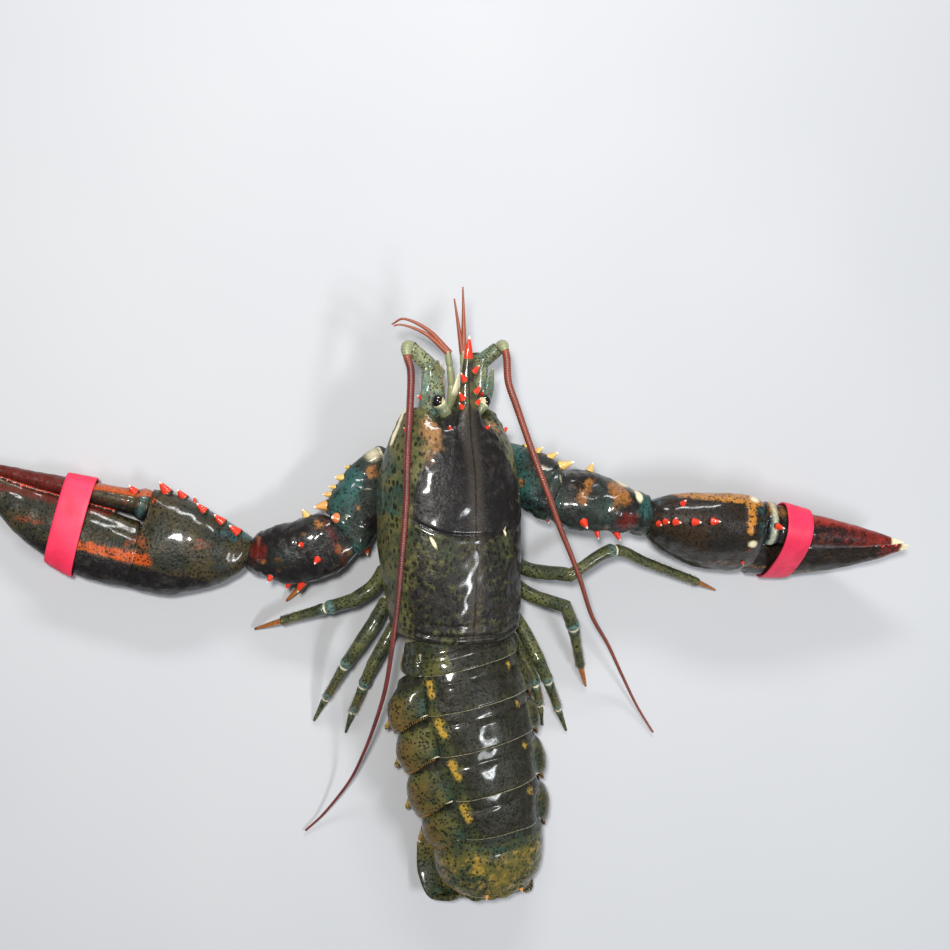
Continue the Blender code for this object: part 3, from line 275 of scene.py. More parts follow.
def limb_rings(path, widths, depths, side, first=None, last=None, steps=48, count=32, power=2):
    """Rings of centre + half-width x across x cosine + half-depth x rise x sine along a path."""
    path = np.asarray(path, float)
    knots = run_of(path)
    side = np.broadcast_to(np.asarray(side, float), path.shape)
    along = unit(np.gradient(path, axis=0))
    if first is not None:
        along[0] = unit(first)
    if last is not None:
        along[-1] = unit(last)
    across = unit(side - np.sum(side * along, axis=1, keepdims=True) * along)
    at = np.linspace(0, knots[-1], steps)
    centre = smooth(knots, path, at)
    along = unit(smooth(knots, along, at))
    across = smooth(knots, across, at)
    across = unit(across - np.sum(across * along, axis=1, keepdims=True) * along)
    rise = np.cross(along, across)
    cosine, sine = oval(count, power)
    wide = smooth(knots, widths, at)[:, None, None] * across[:, None, :] * cosine[None, :, None]
    deep = smooth(knots, depths, at)[:, None, None] * rise[:, None, :] * sine[None, :, None]
    return centre[:, None, :] + wide + deep


def ball(centre, radii, rows=14, count=20):
    """A round lump: centre + radii x (sine x cosine, sine x sine, cosine)."""
    down = np.linspace(0, math.pi, rows + 2)[1:-1, None]
    turn = np.arange(count)[None, :] * 2 * math.pi / count
    local = [np.sin(down) * np.cos(turn), np.sin(down) * np.sin(turn), np.cos(down) + 0 * turn]
    return skin(np.asarray(centre) + np.stack(local, axis=-1) * np.asarray(radii, float))


print("a lump of radius 2 has", len(ball((0, 0, 0), (2, 2, 2)).points), "points")

# %% [markdown]
# ## Spines
# A lobster's spines are short thorns with a flared foot and a coloured point. Each stands
# where the solid's cone stands: its foot is found by a ray that falls on the finished
# surface, so it is rooted in what carries it.

# %% One spine and a row of spines
SPINE_SIDES = 12
# The mark "mid" of a point that is far from the back's middle line, in mm
OFF_LINE = 8


def spine(foot, heading, length, radius, tint):
    """A thorn: its radius falls as (1 - t)^0.7 along the heading, and it flares at the foot."""
    heading = unit(heading)
    side = unit(np.cross(heading, (0.31, 0.87, 0.4)))
    rise = np.cross(heading, side)
    t = np.concatenate([[-0.3], np.linspace(-0.12, 0.96, 11), [1]])
    sizes = radius * (1.2 * np.clip(1 - t, 0.02, 1) ** 0.7 + 0.12 * np.exp(-np.maximum(t + 0.12, 0) / 0.1))
    centre = np.asarray(foot) + heading * (length * t)[:, None]
    shape = skin(centre[:, None] + sizes[:, None, None] * circles(side[None], rise[None], SPINE_SIDES))
    height = np.concatenate([np.repeat(np.clip(t + 0.06, 0, 1), SPINE_SIDES), [0, 1]])
    return shape.mark(tip=height, tint=tint, mid=OFF_LINE)


def plant(shape, start, end, side, places, tints=0.8):
    """Spines on a shape from start to end: share along it, turn from side over the top, lean and sizes."""
    start, end = np.asarray(start, float), np.asarray(end, float)
    along = unit(end - start)
    side = unit(np.asarray(side, float) - along * np.dot(side, along))
    rise = np.cross(along, side)
    rise = rise * np.sign(rise[2])
    surface = BVHTree.FromPolygons(shape.points.tolist(), shape.corners().tolist())
    tints = np.broadcast_to(tints, len(places))
    grown = []
    for (share, turn, lean, length, radius), tint in zip(places, tints):
        turn, lean = math.radians(turn), math.radians(lean)
        out = side * math.cos(turn) + rise * math.sin(turn)
        centre = start + (end - start) * share
        foot = surface.ray_cast(Vector(centre + out * 100), -Vector(out))[0]
        heading = out * math.cos(lean) + along * math.sin(lean)
        grown.append(spine(np.array(foot), heading, length, radius, tint))
    return grown


# The solids' spines: share along the joint, turn round it, lean, length, radius
SPINES = {
    "carapace": [(0.46, 118, 35, 2, 0.8), (0.46, 62, 35, 2, 0.8), (0.45, 162, 45, 2.6, 0.9),
                 (0.45, 18, 45, 2.6, 0.9)],
    "rostrum": [(0.54, 158, 55, 3.8, 1.2), (0.31, 158, 52, 3.6, 1.2), (0.2, 156, 50, 2.8, 1),
                (0.64, 22, 52, 3.8, 1.2), (0.39, 22, 50, 3.6, 1.2), (0.25, 24, 50, 2.8, 1)],
    "merus_left": [(0.27, -10, 20, 2.2, 1), (0.42, -6, 25, 3.6, 1.5), (0.56, -8, 20, 2.8, 1.1),
                   (0.66, -8, 25, 3.6, 1.3), (0.8, -10, 35, 5.4, 2), (0.9, 32, 20, 3, 1.8),
                   (0.93, 195, 45, 6.5, 2)],
    "merus_right": [(0.33, -6, 20, 3, 1.2), (0.5, -4, 25, 3.2, 1.4), (0.66, -10, 30, 4.6, 1.6),
                    (0.84, -12, 42, 6.5, 2), (0.78, 205, 40, 6.5, 1.8), (0.94, 200, 45, 4.5, 1.5)],
    "carpus_left": [(0.34, 12, 20, 3.8, 1.6), (0.42, 94, 10, 2.4, 1.1), (0.28, 130, 25, 3.2, 1.3),
                    (0.52, 180, 35, 5, 1.7), (0.66, 182, 30, 3.2, 1.3), (0.8, 150, 35, 3, 1.2)],
    "carpus_right": [(0.3, -10, 15, 4.6, 1.7), (0.27, 130, 20, 4.2, 1.6), (0.47, 172, 25, 4, 1.3),
                     (0.67, 165, 35, 4.2, 1.4)],
    "palm_left": [(0.41, 8, 48, 5.6, 2), (0.335, 4, 52, 4.6, 1.7), (0.285, -14, 15, 3.6, 1),
                  (0.235, 22, 55, 4.6, 1.6), (0.15, 28, 55, 4.8, 1.7), (0.076, 38, 55, 4.8, 1.8)],
    "palm_right": [(0.02, 44, 10, 3, 1.2), (0.045, 36, 18, 3.2, 1.2), (0.085, 34, 30, 3.6, 1.4),
                   (0.115, -4, 10, 3, 1.2), (0.165, 30, 38, 3.8, 1.5), (0.245, 26, 48, 3.8, 1.5),
                   (0.44, 112, 30, 1.6, 0.8)],
    "finger_left": [(0.54, 38, 48, 4, 1.6)],
    "finger_right": [(0.545, 42, 30, 4, 1.3)],
    "abdomen_6": [(0.95, 54, 72, 2, 0.9), (0.95, 126, 72, 2, 0.9)],
    "antenna_base_left": [(0.8, 165, 25, 3, 1)],
    "antenna_base_right": [(0.85, 80, 60, 3.6, 1)],
}
# How red each spine is: 0 is pale yellow, 1 is red
TINTS = {
    "merus_left": [0.1, 0.15, 0.15, 0.3, 0.35, 0.5, 0.6],
    "merus_right": [0.05, 0.1, 0.1, 0.05, 0.65, 0.65],
    "carpus_left": [0.1, 0.8, 0.85, 0.8, 0.8, 0.8],
    "carpus_right": [0.2, 0.8, 0.8, 0.8],
}
print("spines:", sum(len(row) for row in SPINES.values()))

# %% [markdown]
# ## Finishes as arithmetic
# A finish is a graph of nodes. One small class wraps a socket so that a formula such as
# `0.2 + mask * 0.5` adds its Math nodes by itself, and one method makes every other node.
# Patterns read the object's own coordinates in metres, so a size in millimetres becomes a
# noise scale of a thousand over that size.

# %% The socket wrapper and the finish


def paint(red, green, blue, dim=1):
    """A screen colour, 0 to 255, as the linear colour that a shader takes, dimmed by a factor."""
    share = np.array([red, green, blue]) / 255
    linear = np.where(share <= 0.04045, share / 12.92, ((share + 0.055) / 1.055) ** 2.4)
    return (*(dim * linear).tolist(), 1)


class Wire:
    """A socket that carries a number or a colour, with the operators of arithmetic."""

    def __init__(self, finish, socket):
        self.finish, self.socket = finish, socket

    def math(self, operation, *values):
        """One Math node on these values."""
        return self.finish.node("ShaderNodeMath", {"operation": operation}, dict(enumerate(values)))

    def __add__(self, other):
        return self.math("ADD", self, other)

    def __radd__(self, other):
        return self.math("ADD", other, self)

    def __sub__(self, other):
        return self.math("SUBTRACT", self, other)

    def __mul__(self, other):
        return self.math("MULTIPLY", self, other)

    def size(self):
        """The value without its sign."""
        return self.math("ABSOLUTE", self)

    def step(self, low, high):
        """From 0 at low to 1 at high, softly. low may be above high."""
        settings = {"interpolation_type": "SMOOTHSTEP"}
        if low < high:
            return self.finish.node("ShaderNodeMapRange", settings, {0: self, 1: low, 2: high})
        return self.finish.node("ShaderNodeMapRange", settings, {0: self, 1: high, 2: low, 3: 1, 4: 0})


class Finish:
    """A material that is built as a formula."""

    def __init__(self, name):
        self.material = bpy.data.materials.new(name)
        self.material.use_nodes = True
        self.tree = self.material.node_tree
        self.shader = self.tree.nodes["Principled BSDF"]
        self.place = self.node("ShaderNodeTexCoord", {}, {}, "Object")

    def node(self, kind, settings, values, output=0):
        """A node of any type: its settings first, then the values or wires of its sockets."""
        made = self.tree.nodes.new(kind)
        for name, value in settings.items():
            setattr(made, name, value)
        for key, value in values.items():
            self.feed(made.inputs[key], value)
        return Wire(self, made.outputs[output])

    def feed(self, socket, value):
        """Link a wire to a socket, or set the socket's own value."""
        if isinstance(value, Wire):
            self.tree.links.new(value.socket, socket)
        else:
            socket.default_value = value

    def mark(self, name):
        """A mark of the mesh as a number."""
        return self.node("ShaderNodeAttribute", {"attribute_name": name}, {}, "Fac")

    def noise(self, size, detail=3, rough=0.55, stretch=(1, 1, 1)):
        """Cloudy noise with features of about that size in millimetres."""
        where = self.stretched(stretch)
        values = {"Vector": where, "Scale": 1000 / size, "Detail": detail, "Roughness": rough}
        return self.node("ShaderNodeTexNoise", {}, values, "Fac")

    def cells(self, size, stretch=(1, 1, 1)):
        """Distance to the nearest of scattered points that lie about that size apart."""
        values = {"Vector": self.stretched(stretch), "Scale": 1000 / size}
        return self.node("ShaderNodeTexVoronoi", {}, values, "Distance")

    def stretched(self, stretch):
        """Object coordinates, scaled along the axes."""
        if stretch == (1, 1, 1):
            return self.place
        return self.node("ShaderNodeMapping", {}, {"Vector": self.place, "Scale": stretch})

    def mix(self, share, first, second):
        """A blend of two colours, each a wire or the values that paint() takes."""
        first, second = (tone if isinstance(tone, Wire) else paint(*tone) for tone in (first, second))
        return self.node("ShaderNodeMix", {"data_type": "RGBA"}, {0: share, 6: first, 7: second}, 2)

    def bump(self, height, strength, distance):
        """A normal from a height, with the distance in millimetres."""
        values = {"Height": height, "Strength": strength, "Distance": distance * MM}
        self.feed(self.shader.inputs["Normal"], self.node("ShaderNodeBump", {}, values))

    def set(self, **values):
        """Set the shader's sockets, with _ for a space in a name."""
        for name, value in values.items():
            self.feed(self.shader.inputs[name.replace("_", " ")], value)
        return self.material


print("deep olive in linear light:", np.round(paint(60, 62, 30), 3).tolist())

# %% [markdown]
# ## Wet shell
# The shell's colour is laid in coats. A cloudy ground of two tones comes first, then the
# charcoal of the back with painted shade in places, teal tints, in one place a painted highlight,
# ochre patches and black specks, each broken up by noise at its edge, then pale membranes and
# painted highlights, red horn and the spines with their white points. On the carapace a painted
# sheen lies along the middle line. A clear coat of even gloss over a rougher ground gives the
# wet look, and fine pits break the light.

# %% The shell finish
CHARCOAL = (26, 23, 23)
BLACK = (12, 11, 10)
TAUPE = (74, 66, 56)
OCHRE = (196, 110, 34)
CREAM = (226, 214, 178)
WHITE = (236, 232, 214)
TEAL = (38, 92, 94)
RED_HORN = (92, 26, 18)
SPINE_RED = (208, 54, 30)
SPINE_YELLOW = (206, 172, 98)


def shell_finish(name, ground, second, dark=CHARCOAL, warm=OCHRE, teal=TEAL, red=RED_HORN,
                 speck_size=1.5, stretch=(1, 1, 1), rough=0.34, line=False):
    """The wet shell: coats of colour over each other, each with its mark and its own noise."""
    f = Finish(name)
    broad, middle, fine = f.noise(11, 4), f.noise(3.2, 4, 0.6), f.noise(0.7, 2)
    drift, cloud, grain = broad - 0.5, middle - 0.5, fine - 0.5
    colour = f.mix(broad.step(0.4, 0.62), ground, second)
    colour = f.mix((middle * 0.6 + fine * 0.4).step(0.5, 0.68) * 0.5, colour, dark)
    clouded = f.mix((middle * 0.7 + broad * 0.3).step(0.5, 0.66) * 0.3, dark, TAUPE)
    colour = f.mix((f.mark("dark") + cloud * 1.1).step(0.3, 0.72), colour, clouded)
    tealed = f.mark("teal") + drift + cloud
    colour = f.mix(tealed.step(0.35, 0.95) * 0.75, colour, teal)
    warmth = f.mix(fine.step(0.3, 0.7), warm, (*warm, 0.55))
    warmed = f.mark("warm") + cloud * 1.3 + grain * 0.4
    colour = f.mix(warmed.step(0.3, 0.85) * 0.9, colour, warmth)
    reddened = f.mark("red") + (cloud * 0.9 + grain * 0.5) * f.mark("red").step(0, 0.2)
    colour = f.mix(reddened.step(0.2, 0.85) * 0.95, colour, red)
    cells = f.cells(speck_size, stretch) + cloud * 0.5 + grain * 0.3
    specks = cells.step(0.48, 0.24) * (f.mark("speck") + drift * 0.8).step(0.25, 0.6)
    colour = f.mix(specks * 0.85, colour, BLACK)
    small = (f.cells(speck_size * 0.42) + grain * 0.2).step(0.34, 0.16) * f.mark("speck")
    colour = f.mix(small * 0.6, colour, BLACK)
    colour = f.mix((f.mark("pale") + grain * 0.3).step(0.35, 0.75), colour, CREAM)
    tip = f.mark("tip")
    horn = f.mix(f.mark("tint").step(0.15, 0.75), SPINE_YELLOW, SPINE_RED)
    horn = f.mix((tip + grain * 0.2).step(0.78, 1), horn, WHITE)
    colour = f.mix(tip.step(0, 0.05), colour, horn)
    if line:
        away = f.mark("mid").size()
        # Painted sheen: taupe near the middle line on top of the back. The narrow black median line is the
        # shell's own colour.
        painted_sheen = (away + cloud * 5).step(5, 1.5)
        colour = f.mix(painted_sheen * 0.4, colour, TAUPE)
        colour = f.mix(away.step(0.6, 0.25) * 0.7, colour, BLACK)
    pits = f.cells(1.5).step(0.28, 0.1) * 0.4 + f.noise(5, 3) * 1.1 + middle * 0.5
    f.bump(pits + f.noise(1.3, 2) * 0.8 + f.noise(0.35, 1) * 0.12, 0.6, 0.5)
    wet = (broad * 0.4 + middle * 0.6).step(0.44, 0.56)
    f.set(Coat_Weight=wet * 0.45 + 0.2, Coat_Roughness=0.1, Specular_IOR_Level=0.16)
    return f.set(Base_Color=colour, Roughness=rough + middle * 0.22 - 0.08)


CARAPACE_SHELL = shell_finish("carapace_shell", (94, 92, 54), (56, 62, 40), warm=(170, 124, 74),
                              teal=(40, 72, 62), speck_size=1.9, stretch=(1, 0.6, 1), line=True)
TAIL_SHELL = shell_finish("tail_shell", (84, 82, 42), (48, 54, 34), dark=(37, 37, 27), warm=(194, 156, 60),
                          teal=(40, 72, 60), red=(98, 78, 36))
LEFT_CLAW_SHELL = shell_finish("left_claw_shell", (66, 58, 37), (42, 43, 32), warm=(206, 88, 26),
                               speck_size=1.4)
RIGHT_CLAW_SHELL = shell_finish("right_claw_shell", (54, 40, 26), (34, 30, 24), warm=(204, 136, 52),
                                red=(146, 38, 24))
ARM_SHELL = shell_finish("arm_shell", (44, 54, 48), (40, 42, 34), warm=(166, 108, 50), teal=(44, 88, 84))
LEG_SHELL = shell_finish("leg_shell", (92, 94, 58), (58, 66, 46), teal=(96, 128, 122), speck_size=1.2)
BELLY_SHELL = shell_finish("belly_shell", (178, 164, 122), (158, 136, 92), teal=(112, 150, 150),
                           speck_size=1.6, rough=0.4)
HEAD_SHELL = shell_finish("head_shell", (142, 146, 110), (98, 108, 80), teal=(70, 108, 108), speck_size=1.2)
print("shell finishes:", len(bpy.data.materials))

# %% [markdown]
# ## Feelers, eyes, rubber and hair
# The long feelers are dull brick red with a dark seam between their rings. The eyes are
# polished black with a cream patch, the bands plain pink rubber and the hairs straw brown.

# %% The other finishes


def feeler_finish():
    """Brick red with darker seams, which the mesh marks ring by ring, and pale green at the root."""
    f = Finish("feeler_red")
    cloud = f.noise(9, 3)
    colour = f.mix(cloud.step(0.3, 0.7), (118, 38, 29), (84, 28, 23))
    colour = f.mix(f.mark("warm") * 0.7, colour, (168, 86, 50))
    colour = f.mix((f.mark("pale") + (cloud - 0.5) * 0.4).step(0.3, 0.8), colour, (142, 146, 108))
    colour = f.mix(f.mark("dark") * 0.6, colour, (48, 18, 16))
    f.bump(f.noise(0.6, 2), 0.3, 0.15)
    f.set(Coat_Weight=0.4, Coat_Roughness=0.2)
    return f.set(Base_Color=colour, Roughness=0.42 + cloud * 0.15)


def eye_finish():
    """Polished black, with a soft cream patch where the mesh marks it."""
    f = Finish("eye_black")
    fine = f.noise(0.8, 2)
    patch = (f.mark("pale") + (fine - 0.5) * 0.3).step(0.4, 0.6)
    colour = f.mix(fine.step(0.3, 0.7), (9, 8, 8), (22, 17, 13))
    f.bump(f.cells(0.22), 0.06, 0.03)
    f.set(Coat_Weight=1, Coat_Roughness=0.02)
    return f.set(Base_Color=f.mix(patch, colour, (214, 186, 138)), Roughness=0.12 + patch * 0.2)


def rubber_finish():
    """Plain pink rubber: a soft sheen, faint scuffs and a slightly darker cut edge."""
    f = Finish("band_rubber")
    cloud, fine = f.noise(7, 4), f.noise(0.5, 2)
    colour = f.mix(cloud.step(0.35, 0.7), (232, 46, 84), (214, 34, 70))
    colour = f.mix(f.mark("dark") * 0.5, colour, (150, 20, 44))
    f.bump(fine + cloud, 0.25, 0.12)
    return f.set(Base_Color=colour, Roughness=0.46 + cloud * 0.16)


def hair_finish():
    """Straw brown hair in two tones, paler where the mesh marks it."""
    f = Finish("hair_straw")
    cloud = f.noise(4, 2)
    colour = f.mix(cloud.step(0.3, 0.7), (146, 112, 62), (98, 74, 42))
    colour = f.mix(f.mark("pale"), colour, (206, 190, 138))
    return f.set(Base_Color=colour, Roughness=0.5 + cloud * 0.1)


FEELER_RED, EYE_BLACK = feeler_finish(), eye_finish()
BAND_RUBBER, HAIR_STRAW = rubber_finish(), hair_finish()
print("finishes in all:", len(bpy.data.materials))

# %% [markdown]
# ## From a shape to a piece
# The mesh is filled by whole arrays. The object stays at the origin with its place in the
# mesh, rides on the body and takes the place of its solids.

# %% Making a piece
PIECES = []
HAIR_PATCH = 0.003


def added(name, data):
    """A new object in the scene."""
    obj = bpy.data.objects.new(name, data)
    bpy.context.scene.collection.objects.link(obj)
    return obj


def piece(name, shape, material, nodes=()):
    """Put a shape into the scene in metres, with its marks as attributes, and ride it on the body."""
    shape.points[:, 2] = np.maximum(shape.points[:, 2], 0)
    mesh = bpy.data.meshes.new(name)
    quads, tris = len(shape.quads), len(shape.tris)
    mesh.vertices.add(len(shape.points))
    mesh.vertices.foreach_set("co", (shape.points * MM).ravel())
    mesh.loops.add(4 * quads + 3 * tris)
    mesh.loops.foreach_set("vertex_index", np.concatenate([shape.quads.ravel(), shape.tris.ravel()]))
    mesh.polygons.add(quads + tris)
    starts = np.concatenate([np.arange(quads) * 4, 4 * quads + np.arange(tris) * 3])
    mesh.polygons.foreach_set("loop_start", starts)
    mesh.update(calc_edges=True)
    mesh.validate()
    for mark in MARKS:
        if np.any(shape.marks[mark]):
            values = mesh.attributes.new(mark, "FLOAT", "POINT")
            values.data.foreach_set("value", shape.marks[mark])
    mesh.shade_smooth()
    mesh.materials.append(material)
    obj = added(name, mesh)
    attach(obj, "root")
    if nodes:
        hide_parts(*nodes)
    PIECES.append((name, 2 * quads + tris))
    print(f"{name}: {2 * quads + tris} triangles")
    return obj


def hairs(name, roots, headings, lengths, radius, unwrap, pale=0):
    """Fine drooping hairs of three sides, each with a small patch in the UV map at its root's place."""
    roots, headings = np.asarray(roots, float), unit(headings)
    lengths = np.broadcast_to(lengths, len(roots))[:, None]
    count = len(roots)
    side = unit(np.cross(headings, (0.3, 0.2, 0.93)))
    circle = circles(side, np.cross(headings, side), 3) * radius
    middle = roots + headings * lengths * 0.55
    ends = roots + headings * lengths - np.array([0, 0, 0.12]) * lengths
    points = np.concatenate([roots[:, None] + circle, middle[:, None] + circle * 0.6, ends[:, None]], axis=1)
    thorn = np.array([(2, 1, 0), (0, 1, 4), (0, 4, 3), (1, 2, 5), (1, 5, 4), (2, 0, 3), (2, 3, 5),
                      (3, 4, 6), (4, 5, 6), (5, 3, 6)])
    faces = ((np.arange(count) * 7)[:, None, None] + thorn).reshape(-1, 3)
    shape = Shape(points.reshape(-1, 3), np.zeros((0, 4), int), faces)
    obj = piece(name, shape.mark(pale=pale), HAIR_STRAW)
    patches = obj.data.uv_layers.new(name="OFBake")
    spread = np.array([(0, 0), (1, 0), (0.5, 0.3), (0, 0.6), (1, 0.6), (0.5, 0.7), (0.5, 1)]) * HAIR_PATCH
    flat = (np.clip(unwrap, 0, 1)[:, None, :] * 0.99 + spread[None]).reshape(-1, 2)
    order = np.zeros(len(obj.data.loops), int)
    obj.data.loops.foreach_get("vertex_index", order)
    patches.data.foreach_set("uv", flat[order].ravel())


print("pieces are made by piece() and hairs()")

# %% [markdown]
# ## Welding forms
# The beak grows out of the shell without a seam, and each hip out of the breast plate. The
# forms are laid over each other and welded: a voxel remesh keeps only their outer skin, and
# averaging by turns inwards and outwards, so that nothing shrinks, takes its steps out.

# %% Weld


def weld(shapes, voxel, rounds=4):
    """One skin over overlapping shapes: a remesh at the voxel size, then smoothing both ways."""
    whole = join(shapes)
    mesh = bpy.data.meshes.new("weld")
    mesh.from_pydata(whole.points.tolist(), [], whole.quads.tolist() + whole.tris.tolist())
    obj = added("weld", mesh)
    remesh = obj.modifiers.new("remesh", "REMESH")
    remesh.mode = "VOXEL"
    remesh.voxel_size = voxel
    done = obj.evaluated_get(bpy.context.evaluated_depsgraph_get()).to_mesh()
    points = np.zeros(len(done.vertices) * 3)
    done.vertices.foreach_get("co", points)
    corners = np.zeros(len(done.loops), int)
    done.loops.foreach_get("vertex_index", corners)
    sizes = np.zeros(len(done.polygons), int)
    done.polygons.foreach_get("loop_total", sizes)
    edges = np.zeros(len(done.edges) * 2, int)
    done.edges.foreach_get("vertices", edges)
    bpy.data.objects.remove(obj, do_unlink=True)
    starts = np.concatenate([[0], np.cumsum(sizes)[:-1]])
    quads = corners[starts[sizes == 4][:, None] + np.arange(4)]
    tris = corners[starts[sizes == 3][:, None] + np.arange(3)]
    points, edges = points.reshape(-1, 3), edges.reshape(-1, 2)
    meet = np.bincount(edges.ravel(), minlength=len(points))[:, None]
    for move in (0.55, -0.57) * rounds:
        total = np.zeros_like(points)
        np.add.at(total, edges[:, 0], points[edges[:, 1]])
        np.add.at(total, edges[:, 1], points[edges[:, 0]])
        points = points + move * (total / meet - points)
    return Shape(points, quads, tris)


print("weld() is ready")

# %% [markdown]
# ## The carapace
# One shell covers head and chest. It is a loft of superellipses over stations measured from
# the rear edge to the eye sockets. The sides run ahead of the top, so every groove that
# follows a station sweeps forward on the flanks as the real neck groove does. Grooves, rims,
# ridges and a low unevenness are then pushed along the normals.

# %% Carapace form
REAR_Y, ORBIT_Y, GROOVE_Y, ROSTRUM_TIP_Y, SHELL_WAIST = -46, 51, 0.5, 85, 27
EYE_X = 10.8
# Stations: y, half-width, top, lower edge, how far the sides run ahead of the top
SHELL_STATIONS = np.array([
    (REAR_Y, 27.2, 42.6, 14.5, 5),
    (REAR_Y + 2.5, 28.4, 44, 13.6, 5),
    (REAR_Y + 5, 28.5, 44.2, 13.5, 5),
    (-30, 29.6, 46.4, 13.5, 6),
    (-12, 31, 48.3, 13.5, 9),
    (GROOVE_Y - 2.5, 31, 48.8, 13.5, 14),
    (GROOVE_Y + 2.5, 31, 48.9, 13.7, 14),
    (14, 30.2, 49, 14.5, 12),
    (28, 28.2, 48.6, 18, 7),
    (38, 26.3, 47, 20, 2),
    (46, 23.6, 44.4, 22, 0.5),
    (ORBIT_Y, 21, 42, 24, 1.5),
    (ORBIT_Y + 2, 18.6, 40, 25.5, 2.5),
])


def sag(y, z):
    """How far the flanks lean to the left: nothing at the top, most at the waist and below."""
    high = np.clip((z - SHELL_WAIST) / 21.5, 0, 1)
    return (1 + 2.8 * step(y, REAR_Y, -8)) * (1 - high)


def shell_rings(steps, count):
    """Rings of the carapace: a round back over the waist, a squarer underside below it."""
    y = np.linspace(REAR_Y, ORBIT_Y + 2, steps)
    rows = (np.interp(y, SHELL_STATIONS[:, 0], SHELL_STATIONS[:, k]) for k in (1, 2, 3, 4))
    rows = (np.pad(row, 3, mode="reflect", reflect_type="odd") for row in rows)
    blur = np.array([1, 4, 8, 10, 8, 4, 1]) / 36
    half, top, low, ahead = (np.convolve(row, blur, "valid") for row in rows)
    back_x, back_z = oval(count, 2.3)
    base_x, base_z = oval(count, 4)
    over = back_z >= -1e-9
    x = half[:, None] * np.where(over, back_x, base_x)
    waist = (SHELL_WAIST + 0.15 * (low - 13.5))[:, None]
    z = np.where(over, waist + (top[:, None] - waist) * back_z, waist + (waist - low[:, None]) * base_z)
    sweep = np.where(over, np.abs(x / half[:, None]) ** 3, 1)
    return np.stack([x - sag(y[:, None], z), y[:, None] + ahead[:, None] * sweep, z], axis=-1)


def station_of(points):
    """The station of each point of the shell: y less the sweep, in a few rounds of correction."""
    x, y, z = points.T
    x = x + sag(y, z)
    station = y.copy()
    for _ in range(4):
        half = np.interp(station, SHELL_STATIONS[:, 0], SHELL_STATIONS[:, 1])
        ahead = np.interp(station, SHELL_STATIONS[:, 0], SHELL_STATIONS[:, 4])
        station = y - ahead * np.clip(np.abs(x) / half, 0, 1) ** 3
    return station


def beak_rings():
    """The beak: an oval tapering from the back of the head to its point."""
    path = [(0, 36, 42.5), (0, 48, 42.4), (0, 56, 42.6), (0, 64, 43.2), (0, 74, 44.2), (0, 82, 45.4),
            (0, ROSTRUM_TIP_Y, 46)]
    widths, depths = [10, 6.6, 4.6, 3.5, 2.4, 1.2, 0.5], [4, 3.6, 3, 2.5, 1.8, 1, 0.5]
    return limb_rings(path, widths, depths, RIGHT, AHEAD, AHEAD, 90, 40)


def carve_sockets(shape):
    """Draw the front edge back round each eye: y less a bell of the distance from the eye's line."""
    x, y, z = shape.points.T
    ahead = step(y, 44, 52.5) * step(z, 27, 33) * (y < 56)
    shape.points[:, 1] -= 4.2 * bell(np.abs(x), EYE_X, 4.2) * ahead
    return shape


head_shell = carve_sockets(weld([skin(shell_rings(150, 150)), skin(domed(beak_rings(), 0.5, 0.3))], 0.55))
print("welded carapace:", len(head_shell.points), "points")

# %% Carapace relief and marks


def carapace_relief(shape):
    """Push the grooves, rims and ridges into the shell, as sums of bells of place."""
    x, y, z = shape.points.T
    x = x + sag(y, z)
    wide = np.abs(x)
    station = station_of(shape.points)
    over = step(z, 24, 30)
    behind = station - REAR_Y
    relief = -0.95 * bell(station, GROOVE_Y, 0.7) * over * step(wide, 30, 18)
    relief += 0.2 * bell(station, GROOVE_Y - 2, 1.1) * over
    rim = 0.35 * bell(behind, 1.3, 0.9) - 0.6 * bell(behind, 3.2, 0.7) + 0.2 * bell(behind, 5.2, 1)
    relief += rim * over
    relief -= 0.2 * bell(behind, 8, 0.6) * over
    ridge = 6.8 + 0.12 * (46 - y)
    relief += 0.25 * bell(wide, ridge, 1.3) * step(y, 26, 38) * step(y, 60, 52) * step(z, 38, 41)
    relief -= 0.2 * bell(wide, ridge - 3, 1.4) * step(y, 30, 40) * step(y, 66, 56) * step(z, 40, 42)
    relief -= 0.5 * bell(z, 33 + 0.14 * (y - 10), 0.8) * step(y, 8, 16) * step(y, 44, 36) * step(wide, 18, 22)
    relief += 0.4 * bell(station, 51.5, 1.2) * step(wide, 6, 9) * step(z, 26, 32)
    relief += waves(shape.points, 16, 3) * 0.2 + waves(shape.points, 6, 4) * 0.06
    cheeks = step(y, 30, 42) * step(wide, 7, 12)
    relief += cheeks * np.maximum(waves(shape.points, 3.2, 5), 0) * 0.2
    shape.push(relief)
    return station


